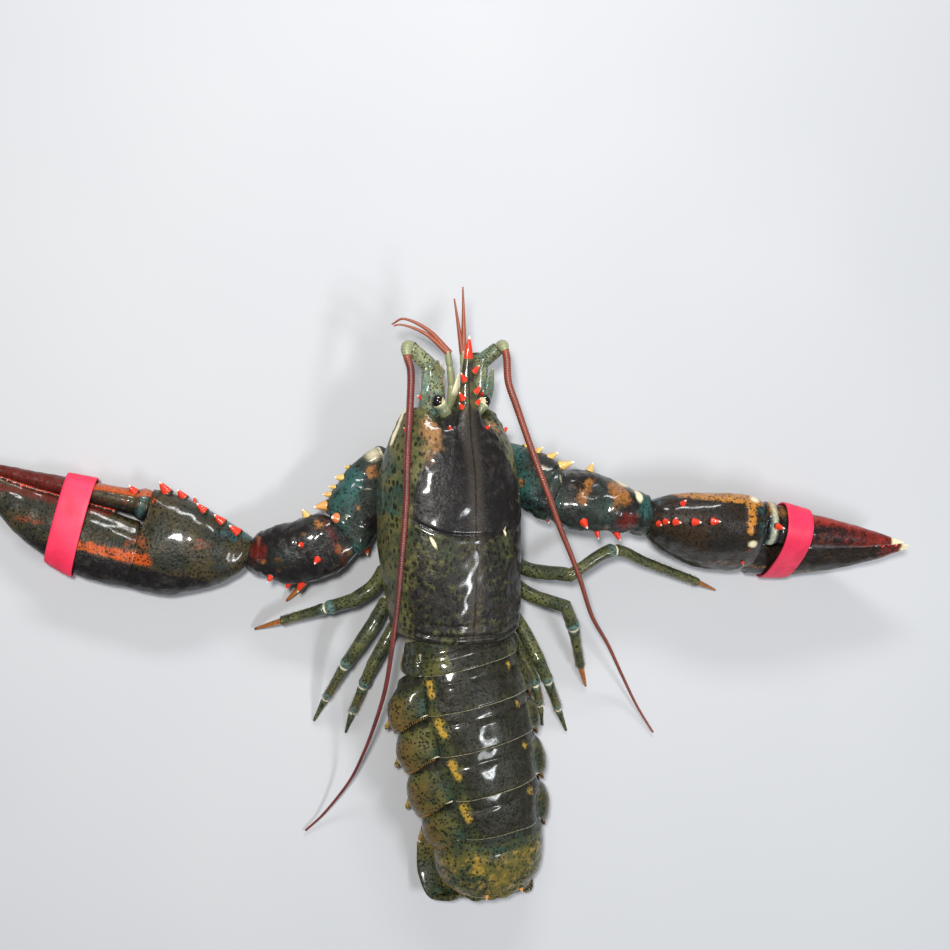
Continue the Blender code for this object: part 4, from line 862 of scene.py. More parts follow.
def carapace_marks(shape, station):
    """Charcoal back, mottled rear, tan cheeks, teal flanks, white groove ends, the cream front rim, painted
    shade on the right flank and a painted highlight behind the neck groove.
    """
    x, y, z = shape.points.T
    x = x + sag(y, z)
    wide = np.abs(x)
    front = step(station, -1, 1)
    edge = 27 - 0.42 * np.clip(y - 20, 0, 36)
    beak = step(y, 46, 56) * step(wide, 8.5, 6.5)
    back = step(np.abs(x + 0.5), edge, edge - 6) * step(z, 33, 38) * (1 - 0.6 * beak)
    behind = 0.64 - 0.22 * bell(x, -17, 9) * bell(station, -5, 8)
    behind -= 0.2 * bell(x, 15, 5) * bell(station, -4, 9) + 0.4 * step(x, -23, -28.5)
    dark = 1.1 * front * back + (1 - front) * behind
    # Painted shade: the right flank, turned away from the light, is darkened.
    dark += 0.25 * step(x, 16, 25)
    warm = 0.95 * bell(x, -15.5, 4.4) * bell(y, 44, 9) * step(z, 30, 35)
    warm += 0.8 * bell(x, 14.5, 2.6) * bell(y, 47, 5) + 0.35 * bell(x, -19, 3) * bell(y, 33, 6)
    warm += 0.36 * step(z, 30, 18) * step(y, 10, -20) * step(x, 10, -10)
    teal = 0.55 * step(x, -23, -27) * step(y, 2, 12) * step(y, 50, 42)
    # Painted highlight: the first bell lays the bluish highlight behind the neck groove in teal.
    teal += 0.4 * bell(station, GROOVE_Y - 1.5, 1.5) + 0.4 * bell(wide, 8.5, 2.6) * bell(y, 42, 7)
    teal += 0.4 * bell(station, REAR_Y + 6, 3) * step(wide, 12, 22) + 0.3 * beak
    slant = x + 18.4 + 0.45 * (y + 1.2)
    pale = 1.1 * bell(slant, 0, 0.8) * bell(y, -1.6, 2.6) + 1.1 * bell(x, 14.6, 0.6) * bell(y, 1.6, 2.6)
    pale += 0.9 * bell(x, -25, 0.7) * bell(y, 28.5, 2.2) + 0.42 * bell(x, -17.5, 1.8) * bell(y, -7.5, 3.5)
    # Painted highlight: a thin pale line just behind the neck groove.
    pale += 0.4 * bell(station, GROOVE_Y - 1.4, 0.35) * step(wide, 14, 6)
    pale += 0.95 * bell(station, 52.6, 0.7) * step(x, -18, -20.5) * step(z, 20, 24) * step(z, 39, 36)
    pale += 0.8 * bell(z, 28.6, 1.8) * step(x, -17, -20) * step(y, 35, 42)
    tip = step(y, 75, 78) * 0.5 + step(y, 82.5, 84) * 0.5
    shape.mark(dark=dark, warm=warm, teal=teal, pale=pale, speck=1 - 0.7 * front * back)
    shape.mark(tip=tip, tint=1, mid=np.where((z > 38) & (y < 74), x, OFF_LINE))


carapace_marks(head_shell, carapace_relief(head_shell))
thorns = plant(head_shell, (0, 0, SHELL_WAIST), (0, 100, SHELL_WAIST), RIGHT, SPINES["carapace"], 0.9)
beak_only = skin(beak_rings())
thorns += plant(beak_only, (0, 48, 42.4), (0, 82, 45.4), RIGHT, SPINES["rostrum"], 0.95)
piece("carapace_skin", join([head_shell] + thorns).world(), CARAPACE_SHELL, ["carapace"])

# %% [markdown]
# ## The eyes
# Each eye is a polished ball on a short stalk that comes out of the socket beside the beak.
# The cream patch faces inwards and up. The stalk swells into a collar that holds the eye.

# %% Eyes and stalks
EYE_RADIUS = 2.8


def eye(side, sign):
    """The ball in its place, with the cream patch where its normal faces the beak."""
    centre = np.array([sign * 11, 58, 36])
    root = np.array([sign * 5.6, 51, 34])
    along = unit(centre - root)
    globe = ball(centre, [EYE_RADIUS] * 3, rows=30, count=44)
    facing = (globe.points - centre) @ unit((-sign * 0.85, -0.15, 0.55)) / EYE_RADIUS
    globe.mark(pale=step(facing, 0.62, 0.86))
    piece(f"eye_{side}_ball", globe.world(), EYE_BLACK, [f"eye_{side}"])
    reach = np.linalg.norm(centre - root) - 0.25 * EYE_RADIUS
    path = [root + along * reach * share for share in (0, 0.3, 0.6, 0.85, 1)]
    sizes = [2.7, 2.9, 3, 3, 2.5]
    stalk = skin(domed(limb_rings(path, sizes, sizes, UP, along, along, 34, 36), 0.6, 0.3))
    stalk.push(waves(stalk.points, 2.5, 12) * 0.08)
    stalk.mark(pale=0.35 + 0.3 * bell(stalk.along, 0.9, 0.1), speck=0.3)
    stalk.mark(teal=0.5 * bell(stalk.along, 0.7, 0.1))
    if side == "left":
        leaf = [(-5.4, 54, 35), (-4.4, 61, 39), (-3.5, 69, 41.5)]
        leaf = limb_rings(leaf, [1.4, 1.5, 0.4], [0.8, 0.7, 0.3], RIGHT, steps=30, count=20)
        leaf = skin(domed(leaf, 0.2, 0.2))
        stalk = join([stalk, leaf.mark(pale=0.2 + 0.6 * step(leaf.along, 0.35, 0.6))])
    piece(f"eyestalk_{side}_skin", stalk.world(), HEAD_SHELL, [f"eyestalk_{side}"])


for pair in SIDES.items():
    eye(*pair)

# %% [markdown]
# ## The long feelers
# A flagellum is a whip of hundreds of short rings. Its path is the one that the solids take:
# from the jointed base forward, up and back over the shell, then down to the floor. The
# radius rises and falls a little along each ring, and each seam is marked for the finish.

# %% Feelers
PEDUNCLES = {
    "left": [(-10.5, 50, 26), (-10.2, 62, 28.5), (-11.5, 72.5, 30.5), (-20, 80, 31.5)],
    "right": [(10.5, 50, 26), (9.4, 63, 29), (9.6, 74, 33.5), (16.4, 80.2, 38.4)],
}
FLAGELLA = {
    "left": [(-14.2, 80.5, 41.4), (-14.3, 76.5, 43.3), (-13, 70.4, 44.3), (-13.8, 58.3, 47),
             (-15.8, 37, 50), (-16.9, 16.1, 50.8), (-18.8, -4.9, 49.6), (-21, -26.2, 46.8),
             (-23.6, -47.9, 41.5), (-26.2, -65.7, 34), (-30, -81, 25), (-34, -93.7, 17),
             (-40.2, -107.9, 9.5), (-51.2, -122.8, 3.2), (-60, -131, 1)],
    "right": [(27.6, 80.6, 40.8), (28.6, 76, 42.6), (28.8, 65.5, 44.2), (31.5, 55.4, 46.6),
              (36, 40.4, 48.4), (39.7, 29.7, 48.4), (44.8, 16, 47), (49.9, 2.4, 44.2),
              (55.6, -10, 39.8), (60.9, -22.3, 34.6), (67.4, -37.7, 26), (76.9, -52, 16),
              (85.1, -67, 8), (93, -82, 3.2), (101, -95, 1)],
}
FLAGELLUM_ROOT, FLAGELLUM_TIP = 1.7, 0.5


def smooth_path(points, spacing):
    """Points a fixed step apart on a smooth curve through the given ones, by cubic blending."""
    points = np.asarray(points, float)
    before = np.vstack([2 * points[0] - points[1], points, 2 * points[-1] - points[-2]])
    t = np.linspace(0, 1, 20, endpoint=False)[:, None]
    fine = []
    for a, b, c, d in zip(before[:-3], before[1:-2], before[2:-1], before[3:]):
        bend = (2 * a - 5 * b + 4 * c - d) * t ** 2 + (3 * b - a - 3 * c + d) * t ** 3
        fine.append(b + 0.5 * ((c - a) * t + bend))
    fine = np.vstack(fine + [points[-1:]])
    run = run_of(fine)
    even = np.linspace(0, run[-1], max(2, int(round(run[-1] / spacing)) + 1))
    return np.stack([np.interp(even, run, fine[:, k]) for k in range(3)], axis=1)


def round_tube(path, radii, count):
    """Circles square to a path that never runs upright, with the side direction kept level."""
    along = unit(np.gradient(path, axis=0))
    side = unit(np.cross(along, UP) + 1e-6)
    rise = np.cross(along, side)
    return path[:, None] + radii[:, None, None] * circles(side, rise, count)


def flagellum(side):
    """The whip: radius = taper x (1 - a little at each seam), with seams closer towards the tip."""
    knots = np.array(PEDUNCLES[side])
    heading = turned(unit(knots[3] - knots[2]))
    end = to_world(knots[3])
    route = np.vstack([[end + heading * 0.3], [end + heading * 2.4], FLAGELLA[side]])
    path = smooth_path(route, 0.22)
    run = run_of(path)
    radii = np.interp(run, [0, 6, 9.5, run[-1]], [2.4, 2.5, FLAGELLUM_ROOT, FLAGELLUM_TIP])
    phase = run / 1.15 + 0.15 * (run / run[-1]) * run
    seam = bell(np.abs((phase % 1) - 0.5), 0.5, 0.2)
    count = 12
    whip = skin(round_tube(path, radii * (1.03 - 0.1 * seam), count))
    browner = np.maximum(step(run, 16, 6), 0.45 if side == "right" else 0)
    root = step(run, 9.6, 8.2)
    rows = {"dark": (seam * (1 - 0.7 * root), 0), "warm": (browner, 1), "pale": (root, 1)}
    whip.mark(**{name: np.append(np.repeat(row, count), [pole, 0]) for name, (row, pole) in rows.items()})
    piece(f"flagellum_{side}", whip, FEELER_RED, [f"antenna_{side}_{k}" for k in (1, 2, 3)])


for side_name in SIDES:
    flagellum(side_name)

# %% [markdown]
# ## The feelers' bases and the scales
# Each long feeler stands on three stout joints, each a little narrower than the last, with
# a flat pointed scale outside it. A joint is pinched where it meets the next and swells
# just before.

# %% Feeler bases


def knuckled(path, widths, depths, side, first, last, steps, count, power=2, swell=0.08, pinch=0.1):
    """A limb with a pinched root and a swollen end, as the shell of one joint has."""
    rings = limb_rings(path, widths, depths, side, first, last, steps, count, power)
    along = np.linspace(0, 1, steps)
    centre = rings.mean(axis=1, keepdims=True)
    size = 1 + swell * bell(along, 0.93, 0.07) - pinch * bell(along, 0, 0.07) - 0.04 * bell(along, 0.86, 0.03)
    return centre + (rings - centre) * size[:, None, None]


def feeler_base(side, sign):
    """Three joints and the scale."""
    knots = np.array(PEDUNCLES[side])
    along = unit(knots[3] - knots[2])
    first = knuckled(knots[:2], [6, 5.2], [5.4, 4.8], RIGHT, AHEAD, None, 40, 40)
    first = skin(domed(first, 0.6, 3.4))
    path = [knots[1] - [0, 2.5, 0], knots[2] - [0, 1, 0]]
    second = skin(domed(knuckled(path, [4.9, 4], [4.6, 3.8], RIGHT, None, None, 36, 36), 0.5, 3.2))
    path = [knots[2] - along * 2, knots[3] - along * 1.6]
    third = skin(domed(knuckled(path, [3.6, 3.2], [3.4, 3.1], UP, None, None, 36, 32), 2, 2.2))
    for k, joint in enumerate((first, second, third)):
        joint.push(waves(joint.points, 3, 20 + k) * 0.14)
        patch = waves(joint.points, 5, 24 + k)
        joint.mark(pale=0.8 * bell(joint.along, 0.12, 0.06) + 0.3 * patch, warm=0.4 * patch)
        joint.mark(teal=0.6 * bell(joint.along, 0.8, 0.08) + 0.15 - 0.3 * patch, speck=0.75)
    tip = (sign * 15.3, 72, 35 + sign)
    path = [(sign * 13, 54, 28), (sign * 13.8, 63, 32.5 + sign * 0.5), tip]
    scale = limb_rings(path, [2.6, 3, 0.5], [1.2, 0.9, 0.4], RIGHT, steps=40, count=28)
    scale = skin(domed(scale, 0.3, 0.2))
    scale.mark(teal=0.7, pale=0.85 * step(scale.along, 0.75, 1), speck=0.4)
    name = f"antenna_base_{side}"
    grown = plant(first, knots[0], knots[1], RIGHT, SPINES[name], 1)
    whole = join([first, second, third, scale] + grown)
    piece(f"feeler_base_{side}", whole.world(), HEAD_SHELL, [name])


for pair in SIDES.items():
    feeler_base(*pair)

# %% [markdown]
# ## The short feelers
# Between the eyes two stems fork into pairs of fine threads. They are the same ringed tubes
# at a smaller size.

# %% Short feelers
ANTENNULES = {
    "left": [(-2.6, 51, 29.5), (-3, 66, 32.5), (-5, 79, 34), (-14, 87.5, 33),
             (-24, 92, 30), (-29, 89.5, 26)],
    "right": [(2.6, 51, 29.5), (2.6, 66, 33), (1.2, 79, 36), (-0.6, 92, 38.5), (-2.5, 106, 40.5)],
}


def antennule(side):
    """A jointed stem and two ringed threads, side by side."""
    knots = np.array(ANTENNULES[side])
    sizes = [1.9, 1.7, 1.4]
    stem = skin(domed(limb_rings(knots[:3], sizes, sizes, RIGHT, AHEAD, None, 60, 20), 0.3, 1))
    stem.push(-0.3 * bell(stem.along, 0.5, 0.02) - 0.3 * bell(stem.along, 0.75, 0.02))
    stem.mark(pale=0.8)
    fork = unit(knots[3] - knots[2])
    across = unit(np.cross(fork, UP))
    parts = [stem]
    for offset, root, reach in ((1.1, 1.45, 1), (-1.1, 1.3, 0.85)):
        spread = np.linspace(0.3, 2.2, len(knots) - 2)[:, None] * offset * across
        start = fork * (np.arange(len(knots) - 2) == 0)[:, None]
        path = smooth_path(knots[2:] - start + spread, 0.25)
        path = path[: int(len(path) * reach)]
        run = run_of(path)
        seam = bell(np.abs((run / 0.8 % 1) - 0.5), 0.5, 0.22)
        count = 9
        thread = skin(round_tube(path, np.linspace(root, 0.35, len(path)) * (1.05 - 0.2 * seam), count))
        thread.mark(dark=np.append(np.repeat(seam * 0.6, count), [0, 0]), warm=1)
        parts.append(thread)
    piece(f"antennule_{side}_skin", join(parts).world(), FEELER_RED, [f"antennule_{side}"])


for side_name in SIDES:
    antennule(side_name)

# %% [markdown]
# ## Claws: one table for palm and fixed finger
# A claw is drawn in a frame of its own, x from wrist to tip and y across it. Each station
# gives its two edges and its thickness. Where the movable finger starts, the palm's inner
# edge drops to the fixed finger's, which leaves the socket's face in the same skin.

# %% Claw tables
ARMS = {
    "left": {"ischium": (-23.5, 33.5, 15.6), "merus": (-41.2, 1.2, 21.5), "wrist": (-81.7, -5.3, 13),
             "tip": (-205, 29.7, 9), "roll": 0, "bow": -3.6},
    "right": {"ischium": (27, 34, 8), "merus": (52, 15, 27), "wrist": (95, 4.9, 25),
              "tip": (216.5, -11.4, 26.5), "roll": 58, "bow": 2},
}
CUTTER = {
    "palm": [(0, -7, 6, 13), (5, -13, 8.5, 18), (12, -18.5, 10.5, 22), (21, -23, 13, 24.5),
             (31, -26.5, 15.5, 25), (40, -28, 16.3, 24), (47, -28.5, 16, 22)],
    "thumb": [(40, -27.6, -1.5, 22), (50, -28.4, -1.2, 20), (62, -28.2, 0.2, 18), (74, -26.4, 0.6, 16),
              (86, -22.5, 0.8, 13.5), (98, -16.5, 1.6, 11), (110, -9, 2.6, 8), (120, -2.6, 3.2, 5),
              (128, 1.4, 3.2, 1.6)],
    "finger": [(47.3, 2.2, 15.4, 16), (54, 3, 14.6, 16), (64, 3.4, 13.4, 14.5), (76, 3.7, 12.4, 12.5),
               (88, 3.9, 11.8, 10.5), (100, 4.6, 11.2, 8.5), (112, 5.6, 10.3, 6.4), (121, 6.2, 8.8, 4),
               (127, 6, 7.2, 1.4)],
    "band": 77,
}
CRUSHER = {
    "palm": [(0, -9, 8, 16.5), (6, -15.8, 11.5, 22), (14, -20.5, 14, 26), (25, -25, 16, 29),
             (37, -27, 17, 29.5), (46, -28, 16.8, 28), (51, -28.3, 16, 26)],
    "thumb": [(44, -27.6, -4, 25), (56, -28.4, -4.4, 22.5), (68, -28.2, -5.4, 19.5), (80, -26.4, -5.4, 16.5),
              (92, -22, -4.2, 13.5), (104, -15, -2.2, 10), (114, -7.5, -0.6, 6), (122, -1.2, 0.2, 1.6)],
    "finger": [(51.3, -1, 15, 20), (58, -1.4, 14, 19), (68, -2.6, 12.2, 17), (80, -2.6, 10.4, 14.5),
               (92, -1.4, 8.8, 11.5), (103, 0.6, 7, 8), (112, 2, 5, 4.5), (119, 2.6, 3.6, 1.2)],
    "band": 65.5,
}
CLAWS = {"left": CUTTER, "right": CRUSHER}
SOCKETS = {"left": 47, "right": 51}
FINGER_MIDDLE = 7.5
# The rolled right claw's shares of y and z that point level towards the head
CRUSHER_FACE = (0.53, -0.85)
# How far the thin ridge that carries the teeth stands in from the fixed finger's edge
TOOTH_RIDGE = 2.5
BAND_WIDTH, BAND_THICKNESS, BAND_CLEARANCE = 12.7, 1.2, 1.1


def claw_axes(side):
    """Rows: the claw's directions in the world, along, across with its roll, and out of its face."""
    arm = ARMS[side]
    along = unit(np.subtract(arm["tip"], arm["wrist"]))
    level = unit(np.cross(UP, along))
    up = np.cross(along, level)
    roll = math.radians(arm["roll"])
    across = level * math.cos(roll) + up * math.sin(roll)
    return np.stack([along, across, np.cross(along, across)])


def place_claw(shape, side):
    """Carry a shape from the claw's frame to the arm."""
    shape.points = np.array(ARMS[side]["wrist"]) + shape.points @ claw_axes(side)
    return shape


for side_name in SIDES:
    print(side_name, "claw axis", np.round(claw_axes(side_name)[0], 3).tolist())

# %% Palm and fixed finger


def read(table, x):
    """Low edge, high edge and thickness of a table at x, read smoothly and held at its ends."""
    table = np.array(table, float)
    return smooth(table[:, 0], table[:, 1:], np.clip(x, table[0, 0], table[-1, 0])).T


def claw_section(x, low, high, thick, sign, count, power=2.2):
    """Rings of a claw: y runs from edge to edge by the cosine, z is half the thickness by the sine."""
    across, rise = oval(count, power)
    y = (low + high)[:, None] / 2 + (high - low)[:, None] / 2 * across
    z = thick[:, None] / 2 * rise
    return np.stack([np.repeat(x[:, None], count, axis=1), sign * y, z], axis=-1)


def palm_skin(side, sign):
    """Palm and fixed finger as one skin, with the socket's face where the inner edge drops."""
    shape, socket = CLAWS[side], SOCKETS[side]
    end = shape["thumb"][-1][0]
    face = socket - 0.8 + 1.2 * np.linspace(0, 1, 12)
    beyond = np.linspace(socket + 0.8, end - 1, 76)
    x = np.unique(np.concatenate([np.linspace(0, socket - 1.2, 56), face, beyond, [end]]))
    palm, thumb = read(shape["palm"], x), read(shape["thumb"], x)
    into = step(x, shape["thumb"][0][0], socket)
    drop = step(x, socket - 0.7, socket + 0.3)
    low = palm[0] * (1 - into) + thumb[0] * into
    high = palm[1] * (1 - drop) + thumb[1] * drop
    thick = palm[2] * (1 - into) + thumb[2] * into
    rings = claw_section(x, low, high, thick, sign, 96)
    past = step(x, socket + 0.6, socket + 2) * step(x, end + 4, end - 6)
    rings[..., 1] += sign * TOOTH_RIDGE * past[:, None] * step(oval(96)[0], 0.72, 1)
    return skin(domed(rings, 1.2, 0.3))


def claw_relief(shape, side, sign):
    """Low swellings, a rim at the wrist, a dip before the socket and fine unevenness."""
    x, y, z = shape.points.T
    y = y * sign
    relief = waves(shape.points, 22, 60) * 0.35 + waves(shape.points, 7, 61) * 0.1
    relief += 0.2 * bell(x, 2.4, 1.6) - 0.15 * bell(x, 6, 1.6)
    relief -= 0.6 * bell(x, SOCKETS[side] - 1.5, 1.3) * step(y, -2, 6)
    if side == "left":
        relief += 0.9 * bell(x, 45, 2.4) * bell(y, 12, 3)
    else:
        level = CRUSHER_FACE[0] * y + CRUSHER_FACE[1] * z
        relief += 0.8 * bell(x, 42, 2.4) * step(level, -4, -1) * step(level, 13, 10)
    return shape.push(relief)


def claw_teeth(side, sign, which):
    """Beads along the inner edge of one finger, every few a larger one."""
    shape = CLAWS[side]
    blunt, thumb = side == "right", which == "thumb"
    draw = np.random.default_rng((31 if thumb else 32) + blunt)
    start, stop = SOCKETS[side] + (6 if blunt else 14), shape[which][-1][0] - 5
    column, way = (1, 1) if thumb else (0, -1)
    ridge = TOOTH_RIDGE - 0.5 if thumb else 0
    x = start
    beads = []
    while x < stop:
        if len(beads) % (3 if blunt else 4) == 0:
            size = draw.uniform(1.2, 1.7) if blunt else draw.uniform(0.75, 1.05)
        else:
            size = draw.uniform(0.4, 0.65)
        size *= float(np.interp(x, [start, stop - 20, stop], [1, 0.9, 0.55]))
        edge = read(shape[which], np.array([x]))[column, 0]
        level = draw.uniform(-0.2, 0.9) if thumb else draw.uniform(0.4, 1.4)
        centre = (x, sign * (edge + way * (ridge - size * 0.45)), level)
        bead = ball(centre, (size * 0.95, size * (1 if blunt else 1.25), size * 1.1), rows=7, count=10)
        height = (bead.points[:, 1] - centre[1]) * way * sign / size
        beads.append(bead.mark(tip=0.3 + 0.65 * step(height, 0, 1), tint=0.75))
        x += size * (1.35 if blunt else 1.5)
    return beads


def palm_marks(shape, side, sign):
    """Left: an orange streak over a dark rear edge. Right: an ochre ridge and pale hinge knobs."""
    x, y, z = shape.points.T
    y = y * sign
    if side == "left":
        dark = 0.9 * step(y, -15, -21) + 0.2 * step(x, 34, 20) + 0.22 - 0.5 * bell(x, 24, 12) * bell(y, -2, 7)
        warm = 1.2 * bell(y, -14.2, 2.3) * step(x, 34, 44) * step(x, 82, 70)
        warm += 0.5 * bell(x, 46, 9) * bell(y, -7, 5) + 0.35 * bell(x, 21, 8) * bell(y, -2, 6)
        warm += 0.42 * step(z, 0, -7) + 0.8 * bell(x, 45, 2) * bell(y, 12, 2.4)
        warm += 0.45 * bell(x, 93, 9) * bell(y, -9, 4)
        red = 0.7 * bell(y, 1.5, 2.5) * step(x, 56, 64) + 0.7 * step(x, 112, 124)
        red += 0.7 * bell(x, 48.5, 2) * bell(y, 0.5, 1.4)
        teal = 0.5 * bell(x, 46, 4) * step(y, -4, 4) + 0.4 * bell(x, 6, 9) * step(y, 0, 6)
        teal += 0.25 * step(x, 40, 28)
        pale = 0.65 * bell(x, 48.2, 1.3) * step(y, 1, 3) + 0.4 * bell(x, 44, 2.5) * bell(y, 5, 1.5)
        pale += 0.45 * bell(x, 8, 6) * step(y, 5, 9)
    else:
        level = CRUSHER_FACE[0] * y + CRUSHER_FACE[1] * z
        dark = 0.5 - 0.3 * bell(level, -5, 5) * step(x, 46, 36)
        hinge = step(level, -4, -1) * step(level, 12, 10)
        warm = 1.1 * step(level, 9.5, 12.5) * step(x, 4, 12) * step(x, 52, 46)
        warm += 0.95 * bell(x, 42, 2.4) * hinge
        warm += 0.45 * bell(level, -16.5, 1.6) * step(x, 20, 32) + 0.2 * bell(level, 5, 5) * step(x, 38, 30)
        red = 0.5 * step(x, 100, 116) + 0.5 * bell(x, 44, 1.5) * bell(level, -9, 1.5)
        teal = 0.5 * bell(x, 47, 3.5) * step(level, -8, -2) + 0.6 * bell(x, 2, 5) * step(level, 4, 8)
        pale = 0.85 * bell(x, 44.5, 3.2) * (bell(level, 13.5, 2) + bell(level, -6.5, 2.2))
    pale += 0.85 * step(x, x.max() - 7, x.max() - 1)
    return shape.mark(dark=dark, warm=warm, red=red, teal=teal, pale=pale, speck=np.maximum(0.8 - red, 0.1))


def finger_skin(side, sign):
    """The movable finger, domed into the socket, with a ridge along its back."""
    table = CLAWS[side]["finger"]
    x = np.linspace(table[0][0], table[-1][0], 110)
    low, high, thick = read(table, x)
    shape = skin(domed(claw_section(x, low, high, thick, sign, 64, 2), 1.6, 0.3))
    px, py, pz = shape.points.T
    relief = waves(shape.points, 16, 41) * 0.2 + waves(shape.points, 5, 42) * 0.07
    relief += 0.6 * bell(px, table[0][0] + 2.6, 1.6) - 0.5 * bell(px, table[0][0] + 6, 1.3)
    shape.push(relief)
    edge = py * sign
    back = np.interp(px, x, high)
    root = bell(px, table[0][0] + 2, 3)
    if side == "left":
        red = 0.9 * step(px, 70, 86)
        warm = 1.1 * bell(edge, back - 1.4, 1.5) * step(px, 78, 68) + 0.3 * bell(edge, back - 6, 4)
        dark = 0.3 + 0.4 * bell(edge, 4, 3)
    else:
        level = CRUSHER_FACE[0] * edge + CRUSHER_FACE[1] * pz
        upper = step(level, 4, 8.5)
        red = (0.3 + 0.7 * upper) * step(px, 54, 70) + 0.25 * step(px, 84, 104)
        warm = 0.5 * upper * step(px, 60, 80) + 0.5 * upper * step(px, 66, 58)
        dark = 0.85 - 0.6 * upper
    pale = 0.9 * step(px, table[-1][0] - 9, table[-1][0] - 4) + (0.4 if side == "left" else 0.55) * root
    return shape.mark(red=red, warm=warm, pale=pale, dark=dark, teal=0.8 * root, speck=0.45)


def claw(side, sign):
    """Both fingers with their spines and teeth, on the arm."""
    finish = LEFT_CLAW_SHELL if side == "left" else RIGHT_CLAW_SHELL
    edge = (0, sign, 0)
    palm = palm_marks(claw_relief(palm_skin(side, sign), side, sign), side, sign)
    parts = [palm] + plant(palm, (0, 0, 0), (100, 0, 0), edge, SPINES[f"palm_{side}"], 0.85)
    parts += claw_teeth(side, sign, "thumb")
    piece(f"palm_{side}_skin", place_claw(join(parts), side), finish, [f"palm_{side}"])
    finger = finger_skin(side, sign)
    middle = sign * FINGER_MIDDLE
    parts = [finger] + plant(finger, (0, middle, 0), (100, middle, 0), edge, SPINES[f"finger_{side}"], 0.85)
    parts += claw_teeth(side, sign, "finger")
    piece(f"finger_{side}_skin", place_claw(join(parts), side), finish, [f"finger_{side}"])


for pair in SIDES.items():
    claw(*pair)

# %% [markdown]
# ## The rubber bands
# A band is a flat loop, stretched round both fingers. Its section is a rounded rectangle
# carried round a superellipse that follows the claw's edges, a little proud of them.

# %% Bands


def band(side, sign):
    """A loop of rounded rectangles: offset outwards by the wall, along x by the width."""
    shape = CLAWS[side]
    count, corner = 160, 36
    across, rise = oval(count, 2.5)
    turn = np.arange(corner) * 2 * math.pi / corner
    box_x = np.sign(np.cos(turn)) * np.abs(np.cos(turn)) ** 0.3 * BAND_WIDTH / 2
    box_out = np.sign(np.sin(turn)) * np.abs(np.sin(turn)) ** 0.5 * BAND_THICKNESS / 2 + BAND_THICKNESS / 2
    x = shape["band"] + box_x
    thumb, finger = np.array(shape["thumb"], float), np.array(shape["finger"], float)
    low = np.interp(x, thumb[:, 0], thumb[:, 1]) - BAND_CLEARANCE
    high = np.interp(x, finger[:, 0], finger[:, 2]) + BAND_CLEARANCE
    thick = np.maximum(np.interp(x, thumb[:, 0], thumb[:, 3]), np.interp(x, finger[:, 0], finger[:, 3]))
    thick = thick / 2 + BAND_CLEARANCE
    y = sign * ((low + high) / 2 + ((high - low) / 2 + box_out) * across[:, None])
    z = (thick + box_out) * rise[:, None]
    rings = np.stack([np.broadcast_to(x, y.shape), y, z], axis=-1)
    i, j = np.meshgrid(np.arange(count), np.arange(corner), indexing="ij")
    here, beside = i * corner + j, i * corner + (j + 1) % corner
    ahead = (i + 1) % count * corner
    quads = np.stack([here, beside, ahead + (j + 1) % corner, ahead + j], axis=-1).reshape(-1, 4)
    loop = Shape(rings.reshape(-1, 3), quads, np.zeros((0, 3), int))
    loop.mark(dark=np.tile(step(np.abs(box_x), BAND_WIDTH / 2 - 0.5, BAND_WIDTH / 2), count))
    piece(f"band_{side}_rubber", place_claw(loop, side), BAND_RUBBER, [f"band_{side}"])


for pair in SIDES.items():
    band(*pair)

# %% [markdown]
# ## The arms
# Three joints carry each claw: a short one from the breast, the broad flat merus and the
# knobbly carpus. Each is one limb with a swollen rim at its end, pushed by low lumps, with
# its spines along the front edge and smooth red knobs where it hinges.

# %% Arm joints
# Hips: place along the breast, how far forward the outer end lies, radius
COXAE = {"claw": (25, 4, 6.4), 1: (10, 0, 4.3), 2: (-4, -1, 4.3), 3: (-18, -2, 4.1),
         4: (-31, -3, 3.9)}
COXA_REACH, COXA_Z, GAP = 17, 6.5, 0.3


def coxa_line(which, sign):
    """Inner and outer end of a coxa's axis in the body frame, and its radius."""
    y, turn, radius = COXAE[which]
    reach = COXA_REACH - (3 if which == "claw" else 0)
    return np.array([sign * 6, y, 4.5]), np.array([sign * reach, y + turn, COXA_Z]), radius


# Patches on the arms under each mark: x and y seen from above, half-width, half-length, strength
ARM_PATCHES = {
    "merus_left": {"pale": [(-28, 36, 8, 7, 0.62), (-31, 21, 6, 1.5, 0.5), (-40.5, 9.5, 1.5, 3, 0.6)],
                   "warm": [(-29.8, 27.9, 4, 5, 1.1), (-35.7, 13.3, 2, 3, 1.1)],
                   # Painted shade: the left merus's dark patch lies where the merus is in shadow.
                   "teal": [(-37, 25, 6, 9, 0.8)], "dark": [(-29, 6.5, 6, 6, 0.8)]},
    "carpus_left": {"warm": [(-59, 3.1, 3.5, 3, 0.9), (-53.3, 6.4, 3.5, 3, 0.9), (-44.5, -3.8, 2.4, 5, 0.8),
                             (-76.5, -9.5, 2, 2, 0.8)], "red": [(-78.5, -4.5, 4.5, 6, 1.2)]},
    "merus_right": {"pale": [(45, 28.5, 6, 2.5, 0.6), (53, 24, 1.6, 4.5, 0.5)],
                    "warm": [(36.1, 22.5, 4, 3.2, 1)], "teal": [(34, 36, 8, 6, 0.8)],
                    "dark": [(42, 14, 12, 7, 0.8)]},
    "carpus_right": {"pale": [(88, 15, 3, 4.5, 0.9), (81.9, 24, 7, 2, 0.8), (84, 21.5, 7, 4, 0.9)],
                     "warm": [(78.2, 17.3, 6.5, 5, 1.5), (65.8, 21.5, 4.4, 3.4, 0.9), (62, 14, 5, 5, 0.6)],
                     "teal": [(90, 10, 4, 7, 0.8)], "red": [(81.5, 4.3, 6, 5, 1.3)]},
}


